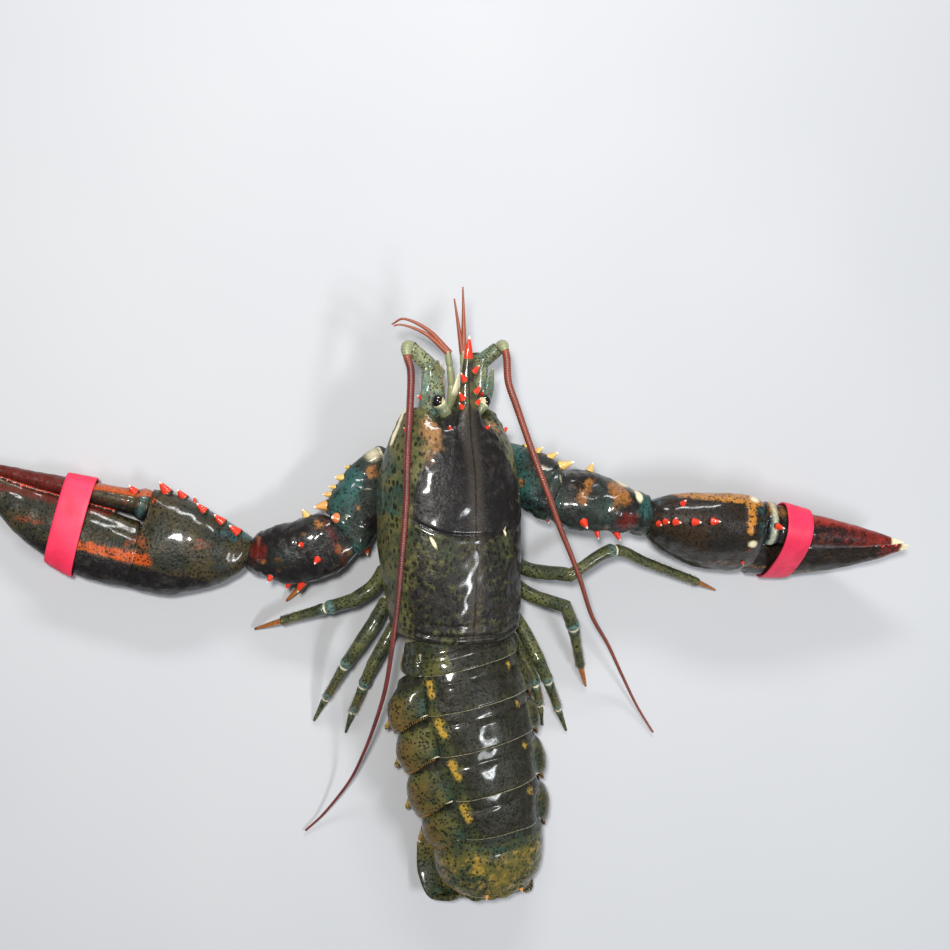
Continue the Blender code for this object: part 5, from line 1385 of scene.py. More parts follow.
def arm_marks(shape, seed, teal, warm, dark, name=""):
    """Teal, ochre and charcoal in slow noise, membranes at both ends and oval patches over them."""
    slow = waves(shape.points, 26, seed)
    quick = waves(shape.points, 13, seed + 1)
    ends = 0.8 * bell(shape.along, 0, 0.04) + 0.5 * bell(shape.along, 1, 0.03)
    marks = {"teal": teal + 0.35 * slow, "warm": warm + 0.3 * quick, "dark": dark - 0.3 * slow,
             "pale": ends, "red": 0 * slow}
    x, y, _ = shape.points.T
    for mark, patches in ARM_PATCHES.get(name, {}).items():
        for east, north, wide, tall, strength in patches:
            marks[mark] += strength * bell(np.hypot((x - east) / wide, (y - north) / tall), 0, 0.8)
    return shape.mark(speck=0.5, **marks)


def arm(side, sign):
    """Ischium, merus and carpus, from the solids' paths and sizes."""
    places = ARMS[side]
    root, end, _ = coxa_line("claw", sign)
    heading = turned(unit(end - root))
    start = to_world(end) + heading * GAP
    ischium_end, merus_end, wrist = (np.array(places[key]) for key in ("ischium", "merus", "wrist"))
    claw_axis, claw_across, _ = claw_axes(side)
    first_bend = unit(unit(merus_end - ischium_end) + unit(ischium_end - start))
    second_bend = unit(unit(wrist - merus_end) + unit(merus_end - ischium_end))
    path = [start, (start + ischium_end) / 2, ischium_end - first_bend * GAP]
    widths, depths = [5.6, 6, 6.6], [5.6, 5.8, 6.2]
    rings = knuckled(path, widths, depths, UP, heading, first_bend, 44, 44, 2.3)
    ischium = skin(domed(rings, 1, 1))
    ischium.push(waves(ischium.points, 8, 70) * 0.15)
    arm_marks(ischium, 71, 0.35, 0.3, 0.1)
    piece(f"ischium_{side}_skin", ischium, ARM_SHELL, [f"ischium_{side}"])

    level = np.cross(merus_end - ischium_end, UP)
    spots = np.array([0, 0.16, 0.5, 0.82, 1])[:, None]
    path = ischium_end + (merus_end - second_bend * GAP - ischium_end) * spots
    path[:, 1] += 1.6 * np.sin(math.pi * spots[:, 0])
    widths, depths = [6.4, 9.4, 11.8, 12.8, 10.8], [6.2, 6.8, 8, 9.2, 7.8]
    rings = knuckled(path, widths, depths, level, first_bend, second_bend, 90, 72, 2.4, 0.05, 0.06)
    merus = skin(domed(rings, 0.8, 1.5))
    merus.push(waves(merus.points, 11, 72) * 0.3 + np.maximum(waves(merus.points, 4, 73), 0) * 0.16)
    arm_marks(merus, 74, 0.4, 0, 0.1 if side == "left" else 0.35, f"merus_{side}")
    thorns = plant(merus, ischium_end, merus_end, AHEAD, SPINES[f"merus_{side}"], TINTS[f"merus_{side}"])
    piece(f"merus_{side}_skin", join([merus] + thorns), ARM_SHELL, [f"merus_{side}"])

    spots = np.array([0, 0.14, 0.42, 0.72, 0.9, 1])[:, None]
    path = merus_end + (wrist - claw_axis * GAP - merus_end) * spots
    path[:, 1] += places["bow"] * np.sin(math.pi * spots[:, 0])
    share = np.linspace(0, 1, 6)[:, None]
    turning = (1 - share) * np.cross(second_bend, UP) * sign + share * claw_across
    widths, depths = [10.4, 13, 13.6, 12.2, 9.6, 7.2], [7.8, 9.4, 10.4, 10.2, 8.6, 6.8]
    rings = knuckled(path, widths, depths, turning, second_bend, claw_axis, 90, 72, 2.4, 0.04, 0.07)
    carpus = skin(domed(rings, 1.2, 1))
    carpus.push(waves(carpus.points, 10, 76) * 0.4 + np.maximum(waves(carpus.points, 4.5, 77), 0) * 0.22)
    teal, dark = (0.15, 0.75) if side == "left" else (0.35, 0.5)
    arm_marks(carpus, 78, teal, 0, dark, f"carpus_{side}")
    if side == "left":
        carpus.marks["red"] += 0.55 * bell(carpus.along, 0.13, 0.04)
        carpus.marks["pale"] += 0.4 * bell(carpus.along, 0.2, 0.02)
    thorns = plant(carpus, merus_end, wrist, AHEAD, SPINES[f"carpus_{side}"], TINTS[f"carpus_{side}"])
    piece(f"carpus_{side}_skin", join([carpus] + thorns), ARM_SHELL, [f"carpus_{side}"])


for pair in SIDES.items():
    arm(*pair)

# %% [markdown]
# ## The walking legs
# Each leg is two skins, hip to knee and knee to foot, pinched at its joints where a blue-grey
# membrane shows. The first two pairs end in a small pincer, the others in a plain point.

# %% Legs
LEGS = {
    ("right", 1): [(28, 1, 6), (37.6, -14.9, 14), (58.3, -19.2, 25.5), (79.1, -8.9, 24),
                   (121, -25.4, 8.6), (132, -30, 1)],
    ("right", 2): [(29, -16, 5.6), (40, -27, 11), (56.6, -33.6, 21.5), (61.5, -44, 14),
                   (66.5, -62, 4), (69.5, -72, 0.6)],
    ("right", 3): [(29, -29, 6), (37.5, -42, 12.5), (44.2, -56.7, 18), (50, -68, 10.5),
                   (56, -82, 3), (60, -92, 0.5)],
    ("right", 4): [(24.5, -39, 5), (35, -49, 6), (41.5, -61, 8), (45, -70, 5.6),
                   (47.5, -80, 2.4), (49, -89, 0.5)],
    ("left", 1): [(-25, 4, 8.6), (-35, 0, 6), (-45, -6, 5.6), (-53, -13, 5),
                  (-61, -23, 2.6), (-66, -28, 0.8)],
    ("left", 2): [(-23, -14, 17.5), (-29, -22, 19.5), (-37.7, -27.5, 19), (-49.5, -31, 14.5),
                  (-68.5, -36.2, 8.5), (-80, -40, 1.2)],
    ("left", 3): [(-22.5, -28, 16.5), (-29, -38, 18.5), (-35.5, -47, 18.5), (-42, -57, 14),
                  (-50, -72, 5.5), (-55, -82, 0.5)],
    ("left", 4): [(-18.5, -39, 12.6), (-24, -48, 12.6), (-29.5, -57.5, 12.5), (-33.5, -67, 8.5),
                  (-38, -79, 3), (-41, -88, 0.5)],
}
LEG_COUNT = 26
LEG_HAIRS = []


def leg_skin(path, widths, depths, first, last, joints):
    """A limb pinched at its joints, given as distances along it, and swollen before them."""
    path = np.asarray(path, float)
    reach = run_of(path)[-1]
    steps = max(40, int(reach * 1.6))
    rings = limb_rings(path, widths, depths, UP, first, last, steps, LEG_COUNT)
    run = np.linspace(0, reach, steps)
    size, membrane, blue = np.ones(steps), np.zeros(steps), np.zeros(steps)
    for spot in joints:
        size += (0.13 * bell(run, spot - 2.4, 1.6) - 0.2 * bell(run, spot, 0.8)
                 + 0.05 * bell(run, spot + 2, 1.2))
        membrane += bell(run, spot, 0.7)
        blue += 0.8 * bell(run, spot - 1.5, 3)
    centre = rings.mean(axis=1, keepdims=True)
    shape = skin(domed(centre + (rings - centre) * size[:, None, None], 0.8, 0.5))
    pad = (len(shape.points) - 2) // LEG_COUNT - steps
    front = pad // 2
    marks = {}
    for name, row in (("pale", membrane * 0.8), ("teal", np.minimum(0.1 + blue, 0.9))):
        full = np.concatenate([np.repeat(row[:1], front), row, np.repeat(row[-1:], pad - front)])
        marks[name] = np.append(np.repeat(full, LEG_COUNT), [row[0], row[-1]])
    shape.mark(**marks, speck=0.75, dark=0.25, warm=0.12)
    return shape.push(waves(shape.points, 5, 91) * 0.07)


def leg(side, sign, which):
    """Upper and lower skin of a leg, and the roots of its hairs."""
    root, end, radius = coxa_line(which, sign)
    heading = turned(unit(end - root))
    start = to_world(end) + heading * GAP
    bend, thigh, knee, ankle, foot, tip = (np.array(point) for point in LEGS[(side, which)])
    fit = radius / COXAE[1][2]
    turn = unit(unit(ankle - knee) + unit(knee - thigh))
    path = np.array([start, bend, thigh, knee - turn * GAP])
    joints = [run_of(path)[1]]
    widths, depths = fit * np.array([3.7, 3.5, 3.9, 3.5]), fit * np.array([3.6, 3.2, 3.3, 3.2])
    upper = leg_skin(path, widths, depths, heading, turn, joints)
    piece(f"leg_{side}_{which}_thigh", upper, LEG_SHELL, [f"leg_{side}_{which}_upper"])
    if which < 3:
        path = np.array([knee, ankle, ankle + (foot - ankle) * 0.35, foot])
        widths, depths = fit * np.array([3.4, 2.9, 2.5, 3]), fit * np.array([3.1, 2.7, 2.2, 2])
    else:
        path = np.array([knee, ankle, ankle + (foot - ankle) * 0.5, foot, tip])
        widths, depths = fit * np.array([3.4, 2.7, 2.2, 1.8, 0.6]), fit * np.array([3.1, 2.5, 2, 1.7, 0.6])
    joints = [run_of(path)[1]] + ([run_of(path)[3]] if which > 2 else [])
    lower = leg_skin(path, widths, depths, turn, None, joints)
    parts = [lower]
    if which < 3:
        along = unit(tip - foot)
        apart = unit(np.cross(along, np.cross(along, UP)))
        for offset in (0.9, -0.9):
            shift = apart * offset
            finger = [foot - along * 1.5 + shift, (foot + tip) / 2 + shift * 1.3, tip + shift * 0.7]
            widths, depths = fit * np.array([1.9, 1.1, 0.5]), fit * np.array([1.3, 0.9, 0.5])
            rings = limb_rings(finger, widths, depths, UP, steps=24, count=18)
            parts.append(skin(domed(rings, 0.3, 0.2)).mark(warm=0.75, speck=0.4))
    piece(f"leg_{side}_{which}_shin", join(parts), LEG_SHELL, [f"leg_{side}_{which}_lower"])
    LEG_HAIRS.append((ankle, foot, tip, fit))


for pair in SIDES.items():
    for number in (1, 2, 3, 4):
        leg(*pair, number)

# %% [markdown]
# ## The underside
# The breast plate carries the hips of all ten limbs, and the mouth legs fold forward under
# the head. They are pale straw with blue-grey joints. Hips and plate are welded.

# %% Breast plate and mouth legs


def breast():
    """The plate and ten hips as one skin, with a furrow between each pair."""
    middle = (13.2 - 4.5) / 2
    path = [(0, -42, 4.5), (0, -30, middle), (0, -10, middle), (0, 12, middle), (0, 26, 5.5), (0, 34, 7.5)]
    widths, depths = [11, 13, 13, 11.5, 9.5, 8], [8] + [(13.2 + 4.5) / 2] * 3 + [7.6, 5.6]
    rings = limb_rings(path, widths, depths, RIGHT, AHEAD, AHEAD, 120, 90, 3.4)
    forms = [skin(rings)]
    for which in COXAE:
        for sign in SIDES.values():
            root, end, radius = coxa_line(which, sign)
            along = (end - root) / 3
            path, sizes = [root, root + along, root + along * 2, end], [radius] * 4
            forms.append(skin(knuckled(path, sizes, sizes, AHEAD, None, None, 30, 30)))
    plate = weld(forms, 0.6, 3)
    x, y, z = plate.points.T
    furrows = sum(bell(y, spot, 1) for spot in (17.5, 3, -11, -24.5))
    hips = step(np.abs(x), 11, 15)
    plate.push(-0.6 * furrows * (1 - hips) * step(z, 2, -1) - 0.4 * bell(x, 0, 0.9) * step(z, 0, -2)
               + waves(plate.points, 7, 95) * 0.1)
    plate.points[:, 2] = np.maximum(plate.points[:, 2], -4.4)
    plate.mark(teal=0.5 * hips, pale=0.5 * (1 - hips), speck=0.25 * hips, warm=0.15)
    piece("breast_plate", plate.world(), BELLY_SHELL, ["sternum"])


def mouth_leg(side, sign):
    """A stout folded limb under the head, notched at its two joints."""
    path = [(4.6, 34.3, 8), (5.6, 42, 10), (6.4, 52, 14), (5.6, 60, 18), (3.6, 66, 20)]
    path = np.array(path) * [sign, 1, 1]
    widths, depths = [3.2, 4.2, 3.8, 3, 1.2], [3.6, 4.4, 4, 3, 1.2]
    limb = skin(domed(limb_rings(path, widths, depths, RIGHT, AHEAD, None, 70, 36), 0.4, 0.5))
    limb.push(-0.35 * bell(limb.along, 0.42, 0.02) - 0.35 * bell(limb.along, 0.7, 0.02))
    blue = 0.5 * bell(limb.along, 0.42, 0.06) + 0.5 * bell(limb.along, 0.7, 0.06)
    limb.mark(teal=blue, warm=0.35, speck=0.4)
    piece(f"mouth_leg_{side}", limb.world(), BELLY_SHELL, [f"maxilliped_{side}"])


breast()
for pair in SIDES.items():
    mouth_leg(*pair)

# %% [markdown]
# ## The tail rings
# Each ring is a round back over a flat belly. Its front third is a smooth facet that slides
# under the ring before it, then comes a furrow, a swelling and a raised rear rim. A broad
# pointed lobe hangs at each side, and soft paddles hang beneath.

# %% Tail tables
# Joints: x, y, z of the back, then half-width, height of the back and depth of the belly
TAIL_JOINTS = np.array([
    (0.6, -46, 41.8, 25.4, 18.5, 8.5),
    (2.8, -55, 42.8, 26, 20, 9.5),
    (5.6, -72, 43.6, 28, 21, 10),
    (9, -89.4, 43.2, 28.2, 21, 10),
    (12.8, -109, 41.4, 27.4, 20.5, 9.5),
    (16.4, -128, 37.6, 25.6, 19, 6.8),
    (18.6, -158, 28.6, 19, 12.6, 3.6),
])
# Side lobes, from the furrow (0) to the tip (1): front and rear end along the ring, and how
# far the lobe stands out
LOBE_EDGES = {
    "first": [(0, -0.9, 1, 0), (0.5, -0.7, 0.98, 0.2), (1, 0, 0.85, 0)],
    "middle": [(0, -0.1, 1, 0), (0.1, -0.1, 1.06, 0.7), (0.22, -0.08, 1.2, 2), (0.4, 0, 1.29, 3.1),
               (0.56, 0.16, 1.24, 2.9), (0.7, 0.4, 1.1, 1.9), (0.84, 0.8, 1.22, 2), (1, 1.28, 1.46, 3.4)],
    "last": [(0, -0.06, 1, 0), (0.4, 0, 0.97, 1.4), (0.7, 0.15, 0.88, 1.6), (1, 0.5, 0.74, 0.4)],
}
LOBE_KINDS = ("first", "middle", "middle", "middle", "middle", "last")
LOBE_DEPTHS = (6, 17, 17.4, 17.2, 16.4, 8)
# Height of the furrow above the lobes, as a share of the arch's height
FURROWS = (0.45, 0.48, 0.56, 0.66, 0.70, 0.5)
# Where each ring's left yellow spot sits, as the turn from the left tip (-1) over the back (0)
SPOT_TURNS = (-0.3, -0.39, -0.34, -0.3, -0.28, -0.25)
# How far each ring's left lobe stands out more than the table says
LEFT_SWELL = (0, 4.2, 3.2, 2.4, 0, 0)
TAIL_MIDDLE = np.stack([TAIL_JOINTS[:, 0], TAIL_JOINTS[:, 1], TAIL_JOINTS[:, 2] - TAIL_JOINTS[:, 4]], axis=1)
TAIL_HEADING = unit(np.gradient(TAIL_MIDDLE, axis=0))
# A ring's profile: place along it, and the scale of its section there
PROFILE = np.array([(-0.12, 0.92), (0, 0.943), (0.16, 0.962), (0.24, 0.968), (0.29, 0.974), (0.36, 0.99),
                    (0.55, 1.003), (0.8, 1.008), (0.94, 1.012), (1, 1.012), (1.2, 1.02)])
LAST_PROFILE = np.array([(-0.12, 0.92), (0, 0.943), (0.1, 0.97), (0.2, 1), (0.45, 1.06), (0.65, 1.08),
                         (0.8, 1.05), (0.9, 0.99), (0.94, 0.968), (0.97, 0.955), (1, 0.9)])
print("ring lengths in mm:", np.round(np.linalg.norm(np.diff(TAIL_MIDDLE, axis=0), axis=1), 1).tolist())

# %% Tail rings


def tail_square(along):
    """The directions to the right and up, square to the tail's axis."""
    right = unit(np.cross(UP, along))
    return right, np.cross(along, right)


def tail_frame(k, share):
    """Centre, right, up and the three sizes of the section at each share along a ring."""
    share = np.asarray(share, float)[..., None]
    centre = TAIL_MIDDLE[k] * (1 - share) + TAIL_MIDDLE[k + 1] * share
    along = unit(TAIL_HEADING[k] * (1 - share) + TAIL_HEADING[k + 1] * share)
    sizes = TAIL_JOINTS[k, 3:] * (1 - share) + TAIL_JOINTS[k + 1, 3:] * share
    return centre, *tail_square(along), sizes


def ring_body(k):
    """The flesh under the plate: a round back over a flat belly, at 90 percent of the section."""
    centre, right, rise, sizes = tail_frame(k, np.linspace(-0.02 if k else -0.8, 0.99, 26))
    back_x, back_z = oval(80, 2.2)
    base_x, base_z = oval(80, 3.4)
    over = back_z >= -1e-9
    wide = 0.9 * sizes[:, 0:1] * np.where(over, back_x, base_x)
    high = np.where(over, 0.9 * sizes[:, 1:2] * back_z, sizes[:, 2:3] * base_z)
    rings = centre[:, None] + wide[..., None] * right[:, None] + high[..., None] * rise[:, None]
    body = skin(domed(rings, 0.5, 3 if k == 5 else 0.5))
    if k == 5:
        body.push(waves(body.points, 6, 110) * 0.4)
        return body.mark(pale=0.12, teal=0.35, warm=0.4, speck=0.9)
    return body.mark(pale=0.55, teal=0.3, speck=0.2)


def plate(outer, inner):
    """A closed thin plate between two grids of points: both faces and a strip round the edge."""
    n, m = outer.shape[:2]
    i, j = np.meshgrid(np.arange(n - 1), np.arange(m - 1), indexing="ij")
    a = (i * m + j).ravel()
    top = np.stack([a, a + 1, a + m + 1, a + m], axis=1)
    rim = np.concatenate([np.arange(m), m * np.arange(1, n) + m - 1,
                          n * m - 2 - np.arange(m - 1), m * np.arange(n - 2, 0, -1)])
    after = np.roll(rim, -1)
    edge = np.stack([after, rim, rim + n * m, after + n * m], axis=1)
    points = np.vstack([outer.reshape(-1, 3), inner.reshape(-1, 3)])
    return Shape(points, np.vstack([top, n * m + top[:, ::-1], edge]), np.zeros((0, 3), int))


def arch(k, rows=64, columns=190):
    """The ring's plate: an arch over the back that runs on down both sides into the lobes.

    A turn from -1 to 1 leads from one lobe's tip over the back, a superellipse, to the other's.
    Front and rear end are read for each turn from the lobe table, so the lobes come out round.
    With the shape come its outer grid and place, turn, lobe and u at each of its points.
    """
    u = (0.5 - 0.5 * np.cos(np.linspace(0, math.pi, rows)))[:, None]
    turn = np.linspace(-1, 1, columns)
    waist = 0.64 if k else 0.84
    angle = np.clip(1 - np.abs(turn) / waist, 0, 1) * math.pi / 2
    cosine, sine = np.cos(angle) ** (2 / 2.2), np.sin(angle) ** (2 / 2.2)
    down = np.clip((np.abs(turn) - waist) / (1 - waist), 0, 1)
    table = np.array(LOBE_EDGES[LOBE_KINDS[k]])
    lobe = np.where(down > 0, 0.42 + 0.58 * down, 0.42 * (FURROWS[k] - sine) / FURROWS[k])
    front, rear, bulge = smooth(table[:, 0], table[:, 1:], np.clip(lobe, 0, 1)).T
    swell = np.sin(math.pi * np.clip(lobe / 0.95, 0, 1)) + 0.4 * step(lobe, 0.8, 1)
    swollen = bulge + LEFT_SWELL[k] * swell
    bulge = np.where(turn > 0, 0.2 * bulge, swollen)
    rear = rear - (0.24 if k == 5 else 0) * np.clip(np.abs(turn) / waist, 0, 1) ** 3
    place = front + (rear - front) * u
    centre, right, rise, sizes = tail_frame(k, place)
    profile = LAST_PROFILE if k == 5 else PROFILE
    held = np.clip(place.ravel(), profile[0, 0], profile[-1, 0])
    scale = smooth(profile[:, 0], profile[:, 1], held).reshape(place.shape)
    lobed = step(lobe, 0, 0.12) * (k in (1, 2, 3, 4))
    relief = 2.2 * np.sin(math.pi * np.clip(lobe / 0.72, 0, 1)) * bell(u, 0.66, 0.3) * lobed
    relief = relief - 3 * lobed * step(u, 0.45, 0) - 0.8 * lobed * step(u, 0.86, 1)
    relief -= 1.7 * bell(lobe, 0, 0.07) * step(u, 0.25, 0.6) * (k < 5) + 0.2 * bell(place, 0.27, 0.03)
    relief -= 0.3 * step(u, 0.95, 1)
    grids = []
    for inset in (0, 0.8):
        wide = np.sign(turn) * ((sizes[..., 0] * scale + relief - inset) * cosine + bulge)
        high = (sizes[..., 1] * scale + relief - inset) * sine - LOBE_DEPTHS[k] * down
        grids.append(centre + wide[..., None] * right + high[..., None] * rise)
    readings = [np.tile(np.broadcast_to(row, place.shape).ravel(), 2) for row in (place, turn, lobe, u)]
    return plate(*grids), grids[0], readings


def tail_marks(shape, k, place, turn, lobe, u):
    """Charcoal back, olive flanks, yellow spots, teal furrows, tan lobes, orange tips, a painted highlight
    along the rear rim and painted shade between the rings and on the right side.
    """
    last = k == 5
    lobed = step(lobe, -0.03, 0.06) * (0 < k < 5)
    back = step(turn, SPOT_TURNS[k] + 0.02, SPOT_TURNS[k] + 0.1) * step(turn, 0.36, 0.28)
    # Painted shade: dark at each ring's front, where it slips under the ring before, and at the front of each
    # side lobe.
    dark = (0.35 if last else 0.85) * back + 0.45 * bell(place, 0.02, 0.12) + 0.9 * lobed * step(u, 0.4, 0.2)
    # Painted shade: the first term darkens the right side of each ring.
    dark += 0.5 * step(turn, 0.3, 0.4) - 0.2 * step(place, 0.6, 0.95) * back
    comma = SPOT_TURNS[k] + 0.03 * bell(place, 0.5, 0.15)
    spots = (bell(place, 0.18, 0.12) + 0.85 * bell(place, 0.44, 0.14)) * bell(turn, comma, 0.04)
    spots += 0.8 * bell(place, 0.2, 0.13) * bell(turn, 0.228, 0.03 if k < 4 else 0.045)
    warm = (0.3 if last else 1.15) * spots * (k > 0) + 0.95 * step(lobe, 0.8, 0.88)
    warm += (0.42 if last else 0) * step(place, 0.15, 0.35)
    teal = 0.4 * bell(lobe, 0.02, 0.06) * step(u, 0.4, 0.7) + 0.16 + (0.34 if last else 0)
    tan = 0.75 * bell(lobe, 0.32, 0.22) * step(u, 0.3, 0.5) * (0 < k < 5)
    # Painted highlight: the first term is a pale line along the rear rim, left off the lobes.
    pale = 0.47 * step(u, 0.965, 0.985) * (lobe < 0.06) + 0.4 * bell(lobe, 0, 0.03) * step(place, 0.85, 1)
    shape.mark(dark=dark, warm=warm, teal=teal, red=tan, pale=pale, speck=0.95 - 0.4 * back)


def paddles(k):
    """The pair of soft paddles under a ring."""
    if k not in (1, 2, 3, 4):
        return []
    centre = (TAIL_MIDDLE[k] + TAIL_MIDDLE[k + 1]) / 2
    along = unit(TAIL_HEADING[k] + TAIL_HEADING[k + 1])
    across = tail_square(along)[0]
    belly = (TAIL_JOINTS[k, 5] + TAIL_JOINTS[k + 1, 5]) / 2
    made = []
    for sign in SIDES.values():
        path = [centre + along * back + across * sign * out - np.array([0, 0, belly - 2 + down])
                for back, out, down in ((0, 12, 0), (2, 12.6, 5), (6, 12.6, 8), (10, 12, 9.5))]
        rings = limb_rings(path, [2.2, 3.6, 4.4, 1.8], [1.2, 0.9, 0.8, 0.5], across, (0, 0, -1), None, 36, 24)
        made.append(skin(domed(rings, 0.2, 0.3)).mark(pale=0.7, warm=0.5))
    return made


FRINGES = []
for segment in range(6):
    ring, grid, readings = arch(segment)
    outside = np.arange(len(ring.points)) < len(ring.points) // 2
    ring.push(waves(ring.points, 9, 100 + segment) * 0.14 * outside)
    tail_marks(ring, segment, *readings)
    FRINGES.append((segment, grid))
    parts = [ring, ring_body(segment)] + paddles(segment)
    if segment == 5:
        across = tail_square(TAIL_HEADING[5])[0]
        parts += plant(ring, TAIL_MIDDLE[5], TAIL_MIDDLE[6], across, SPINES["abdomen_6"], 0.4)
    piece(f"tail_ring_{segment + 1}", join(parts).world(), TAIL_SHELL, [f"abdomen_{segment + 1}"])

# %% [markdown]
# ## The tail fan
# The last piece of the tail is curled down and forward under the ring: a middle plate and
# two blades on each side. Each blade is a thin plate with a low rib along its middle.

# %% Fan
FAN_BACK = (-161.6, -160.6, -152.5, -138)
FAN = {
    "telson": [(0, 1), (21.4, 8.6), (20.2, 3.6), (19.6, 1.4), (19.2, 1.1)],
    "uropod_inner_left": [(-10.4, -0.5), (9, 10.8), (4, 4.6), (2.4, 1.6), (1.4, 1.1)],
    "uropod_inner_right": [(10.4, -0.5), (32, 6), (33.4, 2.8), (34, 1.3), (33.8, 1.1)],
    "uropod_outer_left": [(-15.6, -0.5), (2.8, 14.4), (-2.6, 9.6), (-5.4, 6), (-7, 4.8)],
    "uropod_outer_right": [(15.6, -0.5), (38.8, 9.8), (38.8, 6.8), (35.4, 4), (33, 3.6)],
}
FAN_ROOTS = {"telson": 7.2, "uropod_inner": 2.2, "uropod_outer": 2}
FAN_BLADES = {"telson": (8.4, 9.4, 9.2, 7.4), "uropod_inner": (3, 5.6, 7, 5.4),
              "uropod_outer": (3, 6, 7.8, 5.8)}
FAN_FOLD = {"uropod_inner_right": 0.62, "uropod_outer_right": 0.55, "uropod_outer_left": 0.62}


def fan_blade(name):
    """One blade, from the last ring down and forward to the floor."""
    kind = name.rsplit("_", 1)[0] if name.startswith("uropod") else name
    right, up = tail_square(TAIL_HEADING[-1])
    aside, above = FAN[name][0]
    root = to_world(TAIL_MIDDLE[-1] + TAIL_HEADING[-1] * GAP / 2 + right * aside + up * above)
    path = np.array([root] + [(x, y, z) for (x, z), y in zip(FAN[name][1:], FAN_BACK)])
    lean, level = turned(right), np.array(RIGHT)
    side = [lean * (1 - share) + level * share for share in (0, 0.2, 0.7, 1, 1)]
    widths = np.array([FAN_ROOTS[kind]] + [half * FAN_FOLD.get(name, 1) for half in FAN_BLADES[kind]])
    depths = [1.5, 1.3, 1.1, 1, 0.6]
    rings = limb_rings(path, widths, depths, side, turned(TAIL_HEADING[-1]), None, 80, 56, 2.6)
    blade = skin(domed(rings, 0.2, 0.5))
    root_side = bell(blade.along, 0.2, 0.2)
    light = 0.3 if name == "uropod_outer_left" else 0.1 * root_side
    blade.mark(teal=0.6 * bell(blade.along, 0.36, 0.05) + 0.2, pale=light, speck=0.9)
    blade.mark(warm=0.1 + 0.3 * root_side + 0.4 * step(blade.along, 0.7, 1), dark=0.2)
    piece(f"fan_{name}", blade, TAIL_SHELL, [name])


for blade_name in FAN:
    fan_blade(blade_name)

# %% [markdown]
# ## Hair fringes
# Fine hairs line the side lobes, stand in rows on the feet and bristle on the feelers' bases.
# Each is a thin three-sided thorn, so the whole fringe stays light.

# %% Hairs


def lobe_hairs():
    """Hairs along the rear edge of each side lobe, pointing outwards and down."""
    draw = np.random.default_rng(7)
    roots, headings, lengths, unwrap = [], [], [], []
    for segment, grid in FRINGES:
        if segment == 0:
            continue
        for columns, sign in ((np.arange(3, 54), -1), (np.arange(136, 187), 1)):
            edge = grid[-1, columns]
            out = unit(edge - grid[-6, columns]) + np.array([sign * 0.25, 0, -0.25])
            for _ in range(9):
                jitter = draw.normal(0, 0.3, edge.shape)
                roots.append(edge + jitter * [0.15, 0.4, 0.5] - np.array([sign * 0.3, 0, 0]))
                headings.append(out + jitter * 0.5)
                lengths.append(draw.uniform(0.9, 2, len(edge)))
                across = columns / (grid.shape[1] - 1)
                unwrap.append(np.stack([across, (segment + 0.9 + 0.1 * jitter[:, 1]) / 6], axis=1))
    roots, headings, lengths = np.vstack(roots), np.vstack(headings), np.concatenate(lengths)
    roots, headings = to_world(roots), turned(headings)
    keep = roots[:, 2] - lengths > 0.3
    hairs("lobe_hairs", roots[keep], headings[keep], lengths[keep], 0.07, np.vstack(unwrap)[keep])


def foot_hairs():
    """Short tufts in rows along each foot."""
    draw = np.random.default_rng(8)
    roots, headings, unwrap = [], [], []
    for number, (ankle, foot, tip, fit) in enumerate(LEG_HAIRS):
        along = unit(tip - ankle)
        side = unit(np.cross(along, UP))
        up = np.cross(side, along)
        for turn in np.radians([20, 90, 160]):
            out = side * math.cos(turn) + up * math.sin(turn)
            for share in np.linspace(0.25, 0.95, 12):
                spot = ankle + (foot - ankle) * share
                tuft = draw.normal(0, 0.12, (5, 3))
                roots.append(spot + out * 2 * fit + tuft)
                headings.append(out * 0.7 + along * 0.8 + tuft * 2)
                across = (number + turn / math.pi + tuft[:, 0] * 0.1) / 8
                unwrap.append(np.stack([across, share + tuft[:, 1] * 0.02], axis=1))
    roots, headings = np.vstack(roots), np.vstack(headings)
    keep = roots[:, 2] > 1.2
    hairs("foot_hairs", roots[keep], headings[keep], 1.2, 0.07, np.vstack(unwrap)[keep])


def feeler_hairs(count=170):
    """Bristles on the inner upper side of the feelers' middle joints, leaning forward."""
    draw = np.random.default_rng(9)
    roots, headings, unwrap = [], [], []
    for side, sign in SIDES.items():
        start, end = np.array(PEDUNCLES[side][1]), np.array(PEDUNCLES[side][2])
        share, turn = draw.uniform(0, 1, count), draw.uniform(0, 1.6, count)
        out = np.stack([-sign * np.cos(turn), np.zeros(count), np.sin(turn)], axis=1)
        roots.append(start + (end - start) * share[:, None] + out * 4.1)
        headings.append(out * 0.7 + [0, 0.8, 0] + draw.normal(0, 0.25, (count, 3)))
        unwrap.append(np.stack([(turn / math.pi + (sign > 0)) / 2, share], axis=1))
    roots, headings = to_world(np.vstack(roots)), turned(np.vstack(headings))
    hairs("feeler_hairs", roots, headings, draw.uniform(2, 4.5, 2 * count), 0.08, np.vstack(unwrap), 0.9)


lobe_hairs()
foot_hairs()
feeler_hairs()

# %% [markdown]
# ## Camera, floor and light
# The camera looks down from the photograph's side at nine degrees from upright, with a
# slight roll. The floor is plain and pale. One broad lamp above and two smaller ones give
# soft light with clear highlights on the wet shell.

# %% Camera
TILT, ROLL, DISTANCE = math.radians(9), math.radians(1.3), 620
# Focal length and picture width in pixels, and the sensor's width in mm
FOCUS, PICTURE, SENSOR = 1471, 950, 36
AIM = np.array([12.55, 26, 49.85])


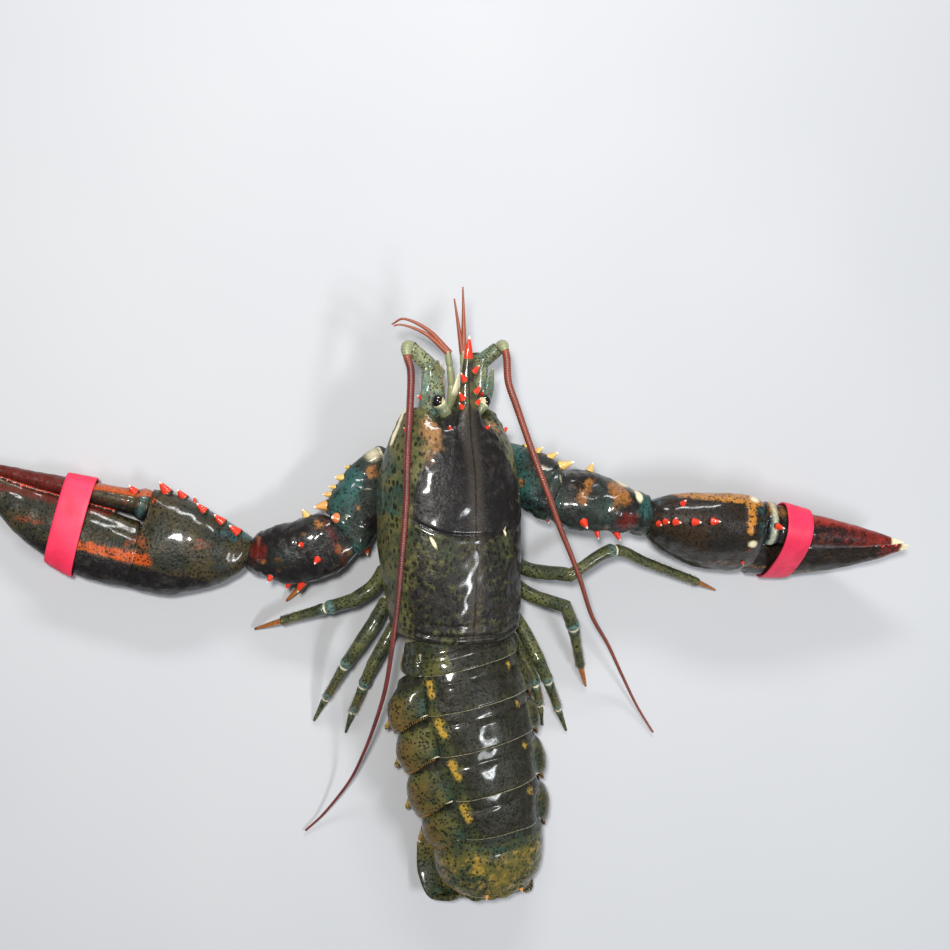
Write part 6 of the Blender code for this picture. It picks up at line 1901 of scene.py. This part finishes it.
def camera():
    """A camera from its own right, up and view directions."""
    look = np.array([math.sin(TILT), 0, -math.cos(TILT)])
    level = np.array([math.cos(TILT), 0, math.sin(TILT)])
    ahead = np.array(AHEAD)
    right = level * math.cos(ROLL) - ahead * math.sin(ROLL)
    up = ahead * math.cos(ROLL) + level * math.sin(ROLL)
    place = AIM - look * DISTANCE
    lens = bpy.data.cameras.new("camera")
    lens.sensor_fit = "HORIZONTAL"
    lens.sensor_width = SENSOR
    lens.lens = SENSOR * FOCUS / PICTURE
    lens.clip_start, lens.clip_end = 0.01, 10
    obj = added("camera", lens)
    rows = [[right[k], up[k], -look[k], place[k] * MM] for k in range(3)]
    obj.matrix_world = Matrix(rows + [[0, 0, 0, 1]])
    bpy.context.scene.camera = obj
    print("camera at", np.round(place, 1).tolist(), "lens", round(lens.lens, 2))


camera()

# %% Floor and lamps


def floor():
    """A wide pale floor just under the model, with a faint unevenness of tone."""
    mesh = bpy.data.meshes.new("floor")
    reach, low = 3, -0.0002
    corners = [(-reach, -reach, low), (reach, -reach, low), (reach, reach, low), (-reach, reach, low)]
    mesh.from_pydata(corners, [], [(0, 1, 2, 3)])
    f = Finish("floor_pale")
    cloud = f.noise(160, 2)
    tone = f.mix(cloud, (176, 178, 182), (186, 187, 189))
    mesh.materials.append(f.set(Base_Color=tone, Roughness=0.7 + cloud * 0.1))
    added("floor", mesh)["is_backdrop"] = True


def lamp(name, place, aim, size, power, colour=(1, 1, 1)):
    """An area lamp that looks from a place at a point, with sizes in millimetres."""
    light = bpy.data.lights.new(name, "AREA")
    light.shape = "RECTANGLE"
    light.size, light.size_y = size[0] * MM, size[1] * MM
    light.energy = power
    light.color = colour
    obj = added(name, light)
    obj.location = Vector(place) * MM
    obj.rotation_euler = (Vector(aim) - Vector(place)).to_track_quat("-Z", "Y").to_euler()


floor()
lamp("key", (-170, 130, 900), (0, 0, 0), (90, 90), 7.5, (1, 0.98, 0.95))
lamp("fill", (430, -260, 700), (20, 0, 0), (260, 90), 3.2, (0.93, 0.97, 1))
lamp("back", (60, 620, 420), (0, 30, 20), (360, 90), 3)
world = bpy.data.worlds.new("studio")
world.use_nodes = True
sky = world.node_tree.nodes["Background"].inputs
sky["Color"].default_value = (0.86, 0.9, 0.95, 1)
sky["Strength"].default_value = 0.22
bpy.context.scene.world = world
bpy.context.scene.view_settings.view_transform = "Standard"

# %% [markdown]
# The difference between the box of the dressed model and the box of the solids is printed,
# low corner and high corner.

# %% Sizes
VISUAL_BOX = [list(corner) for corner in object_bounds()]
grow = (np.array(VISUAL_BOX) - np.array(CAD_BOX)) * 1000
print("pieces:", len(PIECES), "triangles:", sum(count for _, count in PIECES))
print("visual box less CAD box in mm, low and high corner:", np.round(grow, 1).tolist())
